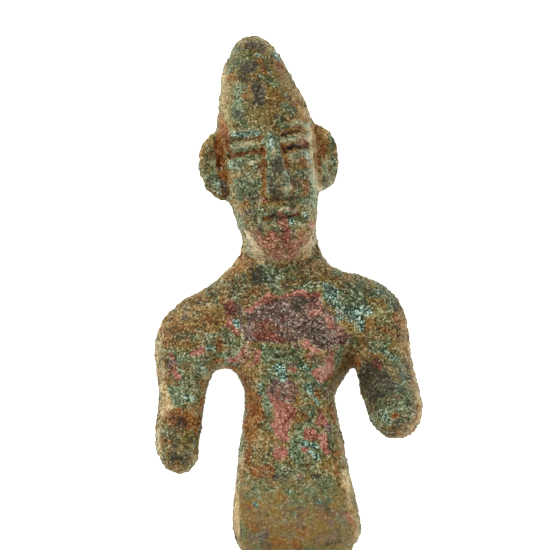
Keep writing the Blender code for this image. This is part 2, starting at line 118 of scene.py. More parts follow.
# Small marks of each crust on the front, as strokes: where a stroke starts, across and up, where it
# ends, its half width, and how much of it is covered
PATCHES = {
    # Bare copper oxide, salmon pink
    "pink": (
        # The face and ears
        (-3.0, 21.2, -2.6, 19.6, 0.8, 0.36), (-2.0, 18.7, 2.0, 18.6, 0.7, 0.36),
        (-2.2, 25.7, -1.8, 25.3, 0.35, 0.8), (0.2, 23.4, 0.4, 22.0, 0.6, 0.55),
        (3.7, 22.2, 4.2, 21.5, 0.5, 0.55), (2.6, 20.6, 3.0, 19.4, 0.7, 0.5),
        # The chest and shoulders
        (-2.4, 11.4, 1.0, 11.0, 0.8, 0.2), (0.9, 7.5, 1.2, 6.6, 0.2, 0.7),
        (-7.3, 5.6, -6.3, 5.6, 0.22, 0.9), (-6.1, 6.1, -5.3, 7.1, 0.28, 0.8),
        (-3.5, 6.6, -3.9, 5.4, 0.32, 0.95), (-4.1, 5.2, -5.0, 4.9, 0.3, 0.85),
        (-5.2, 7.6, -4.2, 7.6, 0.25, 0.5), (2.3, 7.1, 3.5, 6.4, 0.35, 1),
        # Its right arm
        (-11.9, 6.6, -10.8, 7.0, 0.38, 1), (-14.6, 6.8, -14.2, 6.2, 0.3, 0.85),
        (-14.2, 4.6, -13.8, 4.0, 0.34, 0.85),
        # The belly
        (0.1, 4.2, 0.7, 4.0, 0.28, 1), (-2.1, -4.8, -2.2, -5.4, 0.18, 0.8),
        (1.5, -6.0, 1.7, -6.0, 0.32, 1),
    ),
    # Cuprite, deep red-brown
    "red": (
        (0.6, 21.0, 1.0, 19.4, 0.6, 0.65), (-8.6, 31.6, -7.0, 31.0, 0.4, 0.5),
        (2.9, 32.6, 3.9, 32.3, 0.4, 0.6),
        (-2.4, 12.6, 1.4, 12.8, 0.2, 0.6), (2.4, 13.1, 4.2, 13.3, 0.3, 0.7),
        (-12.5, -2.0, -11.8, -3.0, 0.4, 0.35),
        (10.8, 4.2, 11.4, 3.8, 0.5, 0.6),
        (-3.8, -8.2, -3.4, -8.3, 0.4, 0.4), (0.4, -16.8, 0.5, -17.8, 0.35, 0.35),
    ),
    # The floor of the losses: dark purple-brown oxide
    "purple": (
        (-2.4, 45.2, -0.8, 44.2, 0.5, 0.6),
        (0.8, 24.0, 2.0, 23.8, 0.3, 0.8), (-4.2, 23.8, -3.8, 23.8, 0.4, 0.7),
        (0.0, 4.8, 0.8, 4.7, 0.3, 0.8),
        (4.3, -3.2, 4.8, -3.7, 0.45, 0.95), (4.5, 1.0, 4.4, 0.3, 0.35, 0.85),
        (2.6, -3.2, 3.0, -3.6, 0.3, 0.6),
        (0.4, -9.5, 0.8, -9.5, 0.35, 0.8),
    ),
    # Rust-brown in hollows and on flanks
    "rust": (
        # The cap
        (-2.8, 39.6, -2.6, 38.0, 0.3, 0.65), (-3.6, 38.6, -3.2, 38.0, 0.4, 0.5),
        (-1.5, 42.6, -0.9, 41.4, 0.4, 0.7), (0.9, 42.2, 1.5, 41.8, 0.4, 0.6),
        (-5.4, 40.6, -4.6, 40.9, 0.3, 0.55), (-0.4, 37.0, 0.0, 36.2, 0.4, 0.5),
        (-6.6, 36.0, -6.5, 35.2, 0.3, 0.6), (-2.4, 40.8, -1.8, 40.4, 0.3, 0.5),
        # The face and ears
        (-7.2, 32.2, -6.9, 30.0, 0.5, 0.8), (-6.6, 34.4, -6.5, 33.2, 0.45, 0.75),
        (-6.9, 29.6, -6.3, 28.0, 0.4, 0.75), (5.6, 33.8, 5.7, 32.4, 0.25, 0.6),
        (5.8, 31.8, 6.0, 30.6, 0.3, 0.7),
        # The neck
        (-5.2, 17.6, -4.8, 17.2, 0.3, 0.6), (1.0, 14.8, 2.4, 14.6, 0.3, 0.4),
        (3.0, 16.6, 4.2, 15.6, 0.5, 0.3),
        # The chest and shoulders
        (8.2, 4.8, 8.9, 4.2, 0.6, 0.8), (12.2, 11.6, 12.6, 11.2, 0.3, 0.6),
        (-10.0, 11.0, -8.4, 10.6, 0.6, 0.5), (-9.0, 5.8, -8.4, 5.6, 0.3, 0.75),
        (-9.3, 14.3, -8.0, 15.0, 0.3, 0.5), (-7.6, 4.8, -6.4, 4.4, 0.2, 0.65),
        # Its right arm
        (-12.0, 9.0, -11.2, 9.2, 0.5, 0.45), (-10.9, 1.0, -11.4, -1.0, 0.25, 0.75),
        (-11.4, -1.4, -11.7, -2.8, 0.3, 0.7), (-15.8, -0.6, -14.8, -1.0, 0.3, 0.6),
        (-15.4, -2.4, -14.6, -2.8, 0.5, 0.4),
        # Its left arm
        (8.9, 3.6, 9.2, 2.4, 0.3, 0.7), (10.2, 5.5, 11.4, 5.0, 0.35, 0.6),
        (13.8, 9.9, 14.5, 9.0, 0.75, 1), (11.6, 8.4, 13.2, 8.0, 0.4, 0.65),
        (10.0, 6.6, 10.6, 6.2, 0.4, 0.55),
        # The belly
        (-5.3, 1.8, -5.1, -0.8, 0.5, 0.65), (-5.0, -1.0, -4.9, -4.2, 0.55, 0.65),
        (-5.0, -1.2, -4.8, -2.4, 0.3, 0.4), (-5.6, -6.6, -5.3, -7.6, 0.4, 0.7),
        (5.2, -1.0, 5.3, -2.8, 0.35, 0.65), (5.3, -6.8, 5.8, -6.8, 0.4, 0.6),
        (6.9, 4.3, 7.6, 4.2, 0.4, 0.5), (-5.9, 3.6, -5.4, 2.6, 0.3, 0.7),
        (-5.4, 3.4, -4.0, 3.2, 0.25, 0.55), (-1.2, -0.6, 0.2, -1.6, 0.6, 0.5),
        (-1.4, -2.4, -1.0, -3.2, 0.4, 0.4),
        # The kilt
        (-4.7, -8.2, -3.2, -8.4, 0.7, 1), (5.2, -8.0, 5.3, -9.4, 0.3, 0.55),
        (-6.5, -12.6, -5.6, -12.5, 0.45, 0.5), (-5.9, -14.2, -5.1, -15.0, 0.7, 0.45),
        (-0.2, -15.8, 0.8, -16.3, 0.5, 0.65), (-0.3, -17.6, 0.3, -18.2, 0.5, 0.6),
        (6.8, -14.6, 7.2, -16.0, 0.4, 0.55), (3.6, -13.8, 4.4, -14.4, 0.4, 0.35),
        (-2.0, -11.4, -1.0, -11.8, 0.4, 0.4),
    ),
    # Bright blue-green carbonate
    "turquoise": (
        # The cap
        (0.5, 43.8, 1.0, 43.0, 0.28, 0.8), (-3.2, 39.5, -3.1, 39.3, 0.16, 0.9),
        (-1.7, 43.5, -1.5, 43.3, 0.2, 0.8), (-0.4, 41.8, -0.1, 41.0, 0.14, 0.8),
        (-1.5, 40.7, -1.3, 40.6, 0.2, 0.6),
        # The face and ears
        (-5.0, 33.6, -2.4, 33.5, 0.45, 0.65), (-0.6, 33.2, -0.5, 31.6, 0.4, 0.5),
        (-5.8, 29.9, -4.8, 29.3, 0.4, 0.5), (3.5, 31.0, 4.2, 29.9, 0.4, 0.5),
        (1.3, 28.8, 1.4, 28.0, 0.3, 0.6), (1.4, 22.6, 1.6, 22.5, 0.4, 0.8),
        (3.0, 23.4, 3.4, 22.8, 0.35, 0.7),
        # The neck
        (-2.0, 15.9, -1.4, 15.3, 0.45, 0.45),
        # The chest and shoulders
        (-0.6, 10.8, 2.6, 9.4, 1.1, 0.22), (-6.2, 10.4, -6.0, 10.1, 0.4, 1),
        (5.6, 12.9, 6.4, 12.9, 0.32, 1), (6.4, 11.2, 6.6, 10.6, 0.3, 0.75),
        (7.6, 11.0, 9.0, 10.2, 0.45, 0.9), (9.9, 10.8, 10.5, 10.5, 0.32, 1),
        (11.0, 12.9, 12.2, 13.0, 0.35, 0.55), (-10.9, 9.8, -10.7, 9.6, 0.28, 0.75),
        (-10.9, 12.9, -9.2, 12.8, 0.4, 0.45),
        # Its right arm
        (-10.8, 4.9, -10.4, 4.6, 0.4, 0.85), (-9.8, 7.3, -9.2, 7.2, 0.32, 0.75),
        (-12.9, 1.4, -12.2, 1.0, 0.45, 0.55),
        # Its left arm
        (9.3, 9.8, 9.5, 8.6, 0.3, 0.9), (11.6, 6.2, 12.4, 5.3, 0.3, 0.7),
        (12.6, 5.0, 13.2, 4.7, 0.28, 0.8), (13.8, 3.2, 14.2, 2.0, 0.3, 0.45),
        (11.2, -1.6, 11.6, -2.2, 0.4, 0.5),
        # The belly
        (2.4, 1.8, 2.6, 1.2, 0.5, 0.6), (3.2, 0.2, 3.5, -0.4, 0.35, 0.85),
        (2.6, -1.6, 2.6, -1.8, 0.25, 0.85), (1.5, -5.1, 1.8, -5.4, 0.38, 1),
        (2.3, -6.4, 2.8, -7.0, 0.38, 0.85), (2.6, -5.4, 2.8, -5.8, 0.4, 0.6),
        (-3.6, 2.4, -3.4, 1.6, 0.5, 0.55), (1.7, 4.6, 2.4, 4.0, 0.4, 0.5),
        # The kilt
        (-5.0, -12.3, -4.8, -12.7, 0.28, 0.8), (-2.7, -10.6, -2.6, -10.7, 0.2, 0.9),
        (-0.5, -10.9, -0.4, -10.9, 0.22, 0.9), (0.8, -12.1, 0.8, -12.2, 0.15, 1),
        (2.6, -12.4, 3.0, -12.5, 0.28, 0.8), (-0.5, -13.6, -0.2, -13.8, 0.35, 0.5),
    ),
    # Blackish, in places slate blue, and in a few places painted shade
    "dark": (
        # The cap
        (-3.9, 40.8, -3.0, 40.3, 0.35, 0.65), (-4.7, 36.1, -3.9, 35.8, 0.35, 0.65),
        (0.2, 35.4, 1.2, 35.1, 0.35, 0.8),
        # The face and ears
        (-3.8, 24.2, -3.2, 23.4, 0.5, 0.5), (-9.0, 29.0, -8.4, 27.6, 0.6, 0.4),
        (-4.0, 27.4, -3.2, 26.6, 0.6, 0.45),
        # The neck
        (2.0, 15.6, 3.4, 15.6, 0.5, 0.45),
        # The chest and shoulders
        # The second stroke is a painted shadow along the lower edge of the loss on the chest
        (-7.1, 12.2, -6.6, 11.7, 0.4, 0.75), (6.4, 7.0, 8.0, 7.4, 0.18, 0.7),
        (13.6, 11.4, 13.8, 10.8, 0.35, 0.6),
        # Its right arm
        (-14.6, 4.9, -14.4, 4.6, 0.4, 0.5), (-12.6, 5.6, -12.0, 5.4, 0.4, 0.45),
        # Its left arm: the strokes on the inner side of the forearm are painted shade
        (9.6, 3.6, 9.6, 1.0, 0.8, 0.8), (11.6, 3.4, 12.0, 1.6, 0.8, 0.8),
        (9.4, 1.6, 9.8, -0.6, 0.4, 0.7), (12.2, 0.8, 13.0, 0.2, 0.7, 0.45),
        (12.4, 9.2, 12.8, 9.0, 0.35, 0.65), (14.0, 8.4, 14.0, 8.0, 0.2, 0.8),
        # The belly
        (1.2, -0.9, 2.0, -1.2, 0.4, 0.6),
        # The kilt
        (-2.2, -9.1, -1.0, -9.2, 0.35, 0.65), (2.2, -9.2, 3.2, -9.3, 0.25, 0.65),
        (3.6, -13.0, 4.2, -13.8, 0.5, 0.5), (-4.4, -17.3, -3.8, -17.6, 0.5, 0.5),
        (4.0, -17.6, 5.0, -17.4, 0.6, 0.5), (0.2, -15.3, 0.8, -15.5, 0.4, 0.5),
        (-7.1, -15.6, -7.1, -16.2, 0.15, 0.8), (-0.6, -13.2, -0.4, -15.5, 0.4, 0.35),
    ),
    # Greyer green crust
    "green": (
        # The cap
        (1.6, 36.8, 2.2, 36.4, 0.6, 0.7),
        # The face and ears
        (-8.8, 31.0, -8.4, 27.8, 0.7, 0.5), (-3.0, 24.4, -1.6, 22.6, 0.6, 0.6),
        (3.6, 27.6, 3.8, 25.6, 0.7, 0.5), (7.6, 32.6, 7.9, 30.0, 0.5, 0.6),
        # The neck
        (-2.2, 15.8, -1.2, 15.2, 0.8, 1), (-1.0, 16.2, 0.6, 16.2, 0.6, 0.4),
        (-6.6, 14.8, -5.4, 13.4, 0.9, 0.45),
        # The chest and shoulders
        (10.0, 13.0, 12.6, 12.6, 0.8, 0.55), (-2.8, 6.6, 0.5, 5.6, 0.9, 0.75),
        # Its right arm
        (-13.4, 3.2, -12.4, 1.4, 1.0, 0.5), (-10.2, 8.6, -8.0, 8.6, 0.6, 0.5),
        # The belly
        (1.0, -3.0, 2.0, -2.4, 0.8, 0.55), (-3.2, 2.8, -3.0, 1.8, 0.5, 0.5),
        (2.0, 4.6, 2.4, 3.4, 0.7, 0.8), (2.0, -5.6, 3.2, -7.0, 0.6, 0.6),
        # The kilt
        (-4.6, -10.0, -4.0, -10.6, 0.6, 0.6), (1.0, -11.0, 3.4, -11.4, 0.8, 0.5),
        (-6.9, -9.9, -5.8, -9.8, 0.4, 0.6),
    ),
    # Pale along the edges: painted reflection of the white surroundings where the front turns to the side,
    # on crust that is also worn and powdery
    "pale": (
        # The cap
        (-6.1, 36.0, -6.0, 42.0, 0.4, 0.45),
        # The face and ears
        (5.3, 28.8, 5.3, 26.6, 0.5, 0.7), (6.5, 28.9, 6.7, 27.4, 0.5, 0.25),
        (-4.4, 21.4, -2.8, 18.0, 0.6, 0.5), (4.5, 20.8, 2.8, 17.8, 0.6, 0.45),
        (4.7, 33.8, 4.8, 26.6, 0.4, 0.45),
        # Its right arm
        (-15.9, 8.0, -15.9, -0.8, 0.6, 0.4), (-16.5, -2.8, -16.4, -5.6, 0.4, 0.5),
        (-15.6, 2.7, -15.2, 0.2, 0.6, 0.72),
        # Its left arm
        (15.6, 6.0, 15.8, -3.0, 0.5, 0.5), (13.2, -3.9, 14.4, -3.4, 0.4, 0.35),
        # The belly
        (-6.5, -4.0, -6.4, -8.0, 0.35, 0.35),
        # The kilt
        (6.3, -9.4, 6.9, -13.4, 0.5, 0.64), (7.1, -14.0, 7.5, -17.4, 0.4, 0.34),
        (-7.2, -8.8, -7.7, -16.8, 0.34, 0.66),
    ),
    # Yellow-brown crust
    "ochre": (
        # The cap
        (0.4, 42.0, 1.4, 41.0, 0.8, 0.6), (1.4, 40.4, 2.0, 39.6, 0.5, 0.5),
        (2.2, 35.5, 3.6, 35.0, 0.7, 0.8), (-6.5, 36.2, -6.4, 35.4, 0.45, 0.9),
        (-0.6, 40.0, 2.8, 37.6, 1.1, 0.62),
        # The face and ears
        (-1.8, 27.2, -1.4, 26.8, 0.5, 0.7), (0.4, 27.0, 1.2, 26.8, 0.4, 0.7),
        (-5.4, 26.6, -4.0, 25.4, 0.7, 0.5),
        # The neck
        (-4.4, 17.2, -3.6, 15.0, 0.5, 0.5), (2.8, 17.0, 4.2, 15.2, 0.8, 0.7),
        (0.0, 14.8, 2.0, 14.6, 0.5, 0.6),
        # The chest and shoulders
        (-14.6, 10.6, -9.0, 10.6, 1.7, 0.6), (-8.4, 13.6, -6.0, 12.9, 0.6, 0.5),
        # Its right arm
        (-13.0, 8.6, -11.0, 8.8, 1.0, 0.65), (-14.4, -2.0, -13.4, -1.4, 0.8, 0.3),
        (-16.8, -2.6, -16.4, -5.0, 0.4, 0.6),
        # Its left arm
        (10.0, 8.0, 13.6, 7.6, 1.0, 0.55), (8.6, 7.8, 9.8, 7.4, 0.8, 0.6),
        (11.4, -3.8, 13.6, -4.0, 0.6, 0.75), (14.6, 6.4, 14.8, 5.6, 0.4, 0.8),
        # The belly
        (-4.6, 1.0, -4.2, -5.0, 0.9, 0.5), (1.8, 3.4, 1.2, 2.8, 0.4, 0.5),
        # The kilt
        (-3.6, -12.6, -1.0, -12.4, 0.8, 0.55), (-3.0, -16.0, 5.0, -16.5, 1.4, 0.5),
        (-6.2, -8.0, -3.0, -8.6, 1.0, 0.5), (6.3, -10.4, 6.9, -14.0, 0.6, 0.85),
        (-7.3, -8.6, -7.4, -12.0, 0.4, 0.6), (2.0, -9.4, 4.0, -8.6, 0.7, 0.4),
    ),
}


# The raised lip along the top of the loss on its chest, as strokes
LIP = (
    (-4.9, 11.5, -4.1, 11.5, 0.35, 0.9), (-4.1, 12.0, -2.6, 12.9, 0.38, 1),
    (-2.5, 13.2, -1.3, 13.4, 0.4, 1), (-1.2, 13.3, 0.2, 13.0, 0.24, 1),
    (0.3, 13.1, 1.6, 13.5, 0.38, 1), (1.6, 13.6, 2.8, 13.7, 0.32, 1),
)

# Where the front is painted lighter, as strokes: partly crust lighter than its kind, partly painted light,
# on the rims of the cap, cheeks, jaw, arms and kilt where they turn to the side and on the neck just under
# the chin
BRIGHT = (
    # The cap
    (-6.1, 36.0, -6.0, 42.0, 0.5, 0.3), (-2.8, 39.4, -2.6, 38.2, 0.4, 0.5),
    (-4.4, 39.8, -4.2, 37.4, 0.7, 0.6), (0.8, 39.4, 2.4, 38.4, 0.9, 0.5),
    (3.4, 36.4, 3.8, 35.8, 0.6, 0.7), (2.2, 38.6, 3.0, 38.2, 0.6, 0.5),
    (-6.5, 35.8, -6.4, 35.2, 0.4, 0.6),
    # The face and ears
    (2.4, 21.4, 3.2, 19.6, 0.8, 0.5), (-5.0, 33.6, -2.6, 33.5, 0.5, 0.2), (4.6, 34.0, 4.8, 27.0, 0.7, 1),
    (-4.4, 20.6, -2.6, 18.0, 0.7, 0.8), (4.4, 20.0, 2.6, 17.8, 0.7, 0.8),
    (-3.4, 32.2, -0.8, 31.9, 0.5, 0.5), (3.6, 27.6, 3.8, 24.6, 0.8, 0.4),
    (-8.2, 28.0, -6.8, 26.6, 0.6, 0.5), (6.3, 29.6, 6.6, 27.2, 0.6, 0.8), (5.3, 28.8, 5.4, 26.6, 0.6, 1),
    # The neck
    (-1.6, 17.3, 3.8, 17.0, 0.4, 0.6), (2.4, 16.9, 4.0, 17.2, 0.5, 0.6),
    # The chest and shoulders
    (5.2, 5.0, 5.3, 4.2, 0.4, 0.7), (2.2, 7.4, 3.9, 6.1, 0.45, 1), (5.2, 10.4, 6.4, 9.2, 0.7, 0.5),
    (7.2, 4.6, 8.9, 4.2, 0.6, 0.9), (-8.2, 5.2, -4.8, 7.0, 0.8, 0.6), (4.2, 8.0, 5.6, 7.8, 0.6, 0.7),
    (7.2, 5.8, 8.0, 5.4, 0.4, 0.8), (0.8, 10.6, 1.4, 10.0, 0.6, 0.5), (-7.8, 8.6, -7.8, 7.2, 0.6, 0.5),
    (6.2, 6.7, 6.8, 6.5, 0.4, 0.5), (-6.9, 14.4, -6.3, 13.8, 0.5, 0.6), (6.2, 4.6, 6.6, 4.2, 0.4, 0.8),
    (-6.6, 5.2, -5.0, 5.0, 0.5, 0.6), (11.0, 14.4, 11.8, 14.2, 0.5, 0.4),
    (8.8, 13.4, 9.4, 13.2, 0.6, 0.5),
    # Its right arm
    (-11.9, 6.6, -10.8, 7.0, 0.4, 0.5), (-16.6, -2.8, -16.4, -5.6, 0.4, 0.5),
    (-13.5, 5.6, -13.0, 2.0, 1.3, 0.15), (-15.8, 9.2, -15.8, 7.0, 0.6, 0.8),
    (-16.0, 6.8, -15.9, 4.0, 0.4, 0.4), (-12.4, -5.4, -12.0, -6.2, 0.5, 0.8),
    (-12.2, 1.2, -11.6, 0.6, 0.6, 0.8), (-12.2, 0.0, -11.6, -0.8, 0.6, 0.7),
    (-14.6, 0.4, -14.0, 0.0, 0.5, 0.5), (-10.8, 4.6, -10.2, 3.8, 0.5, 0.7),
    # Its left arm
    (14.0, 9.7, 14.5, 9.1, 0.6, 0.5), (15.6, 5.0, 15.9, -3.0, 0.4, 0.4),
    (13.2, -4.0, 14.4, -3.6, 0.5, 0.4), (11.2, -1.2, 12.0, -1.8, 0.7, 0.5),
    # The belly
    (5.1, 4.1, 3.8, 3.0, 0.8, 1), (-2.0, -6.1, -1.2, -6.2, 0.6, 0.2), (3.6, -4.9, 3.9, -6.2, 0.5, 0.2),
    (-4.6, -2.0, -4.4, -5.0, 0.6, 0.5), (-6.5, -4.0, -6.0, -11.0, 0.6, 0.15),
    (-2.0, -3.0, -1.8, -4.6, 0.4, 0.5), (2.4, -3.2, 2.8, -3.4, 0.4, 0.6),
    (2.2, -6.4, 2.4, -8.0, 0.6, 0.8), (-2.3, -5.4, -1.8, -5.3, 0.4, 0.8),
    (-1.8, 0.4, 0.0, -4.0, 0.6, 0.25),
    # The kilt
    (6.3, -9.4, 6.9, -13.4, 0.6, 0.5), (7.1, -14.0, 7.5, -17.4, 0.6, 0.95),
    (-7.2, -8.8, -7.6, -16.8, 0.4, 0.45), (-4.4, -8.2, -3.4, -8.4, 0.6, 0.6),
    (-3.4, -12.0, 4.0, -12.6, 2.4, 0.25), (-7.4, -17.0, -7.1, -17.8, 0.4, 0.7),
    (-5.9, -10.4, -4.4, -11.2, 0.8, 0.8),
)

# Where the front is painted darker, as strokes: partly crust darker than its kind, partly painted shade, on
# the neck under the jaw, in its left armpit, on its left shoulder and on the inner side of its left forearm
DARKER = (
    # The cap
    (-1.6, 44.0, -1.4, 43.0, 1.1, 0.45), (-1.8, 39.4, -1.4, 37.6, 0.6, 0.3),
    (-3.0, 43.0, 0.6, 36.4, 3.4, 0.32),
    # The face and ears
    (-1.4, 34.6, -0.6, 33.8, 0.6, 0.8), (-6.7, 35.2, -6.5, 33.4, 0.2, 1),
    (-6.1, 34.0, -6.0, 32.2, 0.2, 0.9), (-2.2, 20.8, -0.4, 20.4, 0.5, 0.5),
    (-5.0, 29.9, -4.2, 29.7, 0.4, 0.6), (1.4, 22.8, 3.2, 22.6, 0.5, 0.6),
    (-6.7, 34.8, -6.5, 33.8, 0.5, 0.3), (-1.6, 34.2, 0.2, 34.0, 0.6, 0.7),
    (-0.2, 30.0, -0.2, 25.0, 0.7, 0.35), (-4.4, 27.6, -2.8, 26.2, 0.9, 0.3),
    (-2.0, 20.6, -1.0, 19.4, 0.8, 0.3), (0.4, 20.8, 1.0, 19.4, 0.6, 0.5),
    (-3.4, 26.8, -1.6, 24.6, 1.4, 0.2),
    # The neck, with painted shade under the jaw
    (0.0, 15.1, 0.6, 14.8, 0.6, 0.6), (2.4, 14.9, 3.6, 13.7, 0.7, 0.5),
    (-3.6, 16.4, -2.8, 15.6, 0.7, 0.8), (-2.0, 15.7, -1.2, 15.2, 0.6, 0.4),
    (-6.2, 14.0, -4.8, 15.0, 0.9, 0.6), (0.4, 16.6, 1.2, 15.8, 0.7, 0.3),
    # The chest and shoulders, with painted shade on its left shoulder
    (-13.4, 9.2, -10.2, 10.8, 1.2, 0.35), (-14.9, 11.4, -14.2, 11.8, 0.7, 0.6),
    (-4.0, 5.2, -3.4, 4.8, 0.4, 0.6), (0.6, 8.2, 1.2, 7.9, 0.5, 0.6), (4.2, 10.3, 4.6, 9.9, 0.6, 0.6),
    (13.2, 12.2, 14.2, 11.2, 0.6, 0.4), (6.8, 15.8, 7.4, 15.4, 0.6, 0.4),
    (-0.6, 6.0, 0.8, 6.8, 0.6, 0.3), (-10.4, 13.6, -9.4, 13.8, 0.9, 0.5),
    (5.8, 15.6, 8.2, 14.9, 0.8, 0.5), (-7.2, 12.2, -6.7, 11.7, 0.35, 1),
    (-6.4, 11.8, -6.0, 10.8, 0.5, 0.3), (1.2, 12.3, 1.7, 11.6, 0.5, 0.5),
    (0.0, 10.4, 1.6, 9.4, 0.9, 0.5), (-2.6, 9.9, -1.4, 9.3, 0.8, 0.3), (3.4, 11.8, 4.2, 11.2, 0.5, 0.35),
    (0.8, 13.4, 2.4, 13.7, 0.35, 0.5), (6.8, 13.4, 11.4, 12.6, 1.5, 0.2),
    (-7.4, 9.2, 6.0, 8.8, 2.4, 0.15),
    # Its right arm
    (-11.5, 9.2, -11.5, 7.4, 0.6, 0.5), (-14.4, -3.2, -14.2, -4.0, 0.6, 0.6),
    (-15.2, 6.0, -14.8, 5.0, 0.5, 0.6), (-14.3, -0.9, -13.5, -1.7, 0.5, 0.5),
    (-14.9, -5.6, -14.5, -6.4, 0.9, 0.3),
    # Its left arm, with painted shade on the forearm, most on its inner side
    (13.4, 2.8, 14.3, 0.8, 0.8, 0.55), (10.4, 3.8, 10.8, 0.8, 1.8, 0.6),
    (12.0, -2.4, 12.6, -3.4, 1.4, 0.2),
    # The belly
    # The second stroke here is painted shade in its left armpit
    (-1.2, 0.6, 0.6, 0.2, 0.6, 0.6), (8.4, 4.4, 8.8, 4.0, 0.4, 1), (1.9, -4.2, 2.8, -4.4, 0.5, 1),
    (-1.0, -0.8, -0.2, -1.6, 0.7, 0.6), (-1.8, 0.4, -1.4, -0.4, 0.5, 0.5),
    (-1.4, -3.2, -1.2, -4.2, 0.6, 0.25),
)

# Small hollows on the front: across, up, radius, depth. The first is the chip on its left shoulder.
CHIPS = ((14.7, 9.4, 0.7, 0.5), (-7.4, 35.0, 0.5, 0.12), (-7.5, -9.7, 0.5, 0.12))
GAS_HOLE = (12.55, -1.9)  # in its left stump, with a raised ring

# Where the crust is lost from the chest, down to the oxide
CHEST_LOSS = (
    (-5, 11.4), (-3.5, 12.6), (-2, 13.2), (0, 13.1), (2, 13.6), (4, 13.4), (4.8, 12), (6.3, 10.5), (7, 9),
    (8, 7.8), (7.4, 6.8), (5.8, 6.6), (4.5, 6.2), (3.6, 6.4), (2.3, 7.6), (1.2, 7.4), (-1, 7.3), (-3.5, 7.8),
    (-5, 8),
)

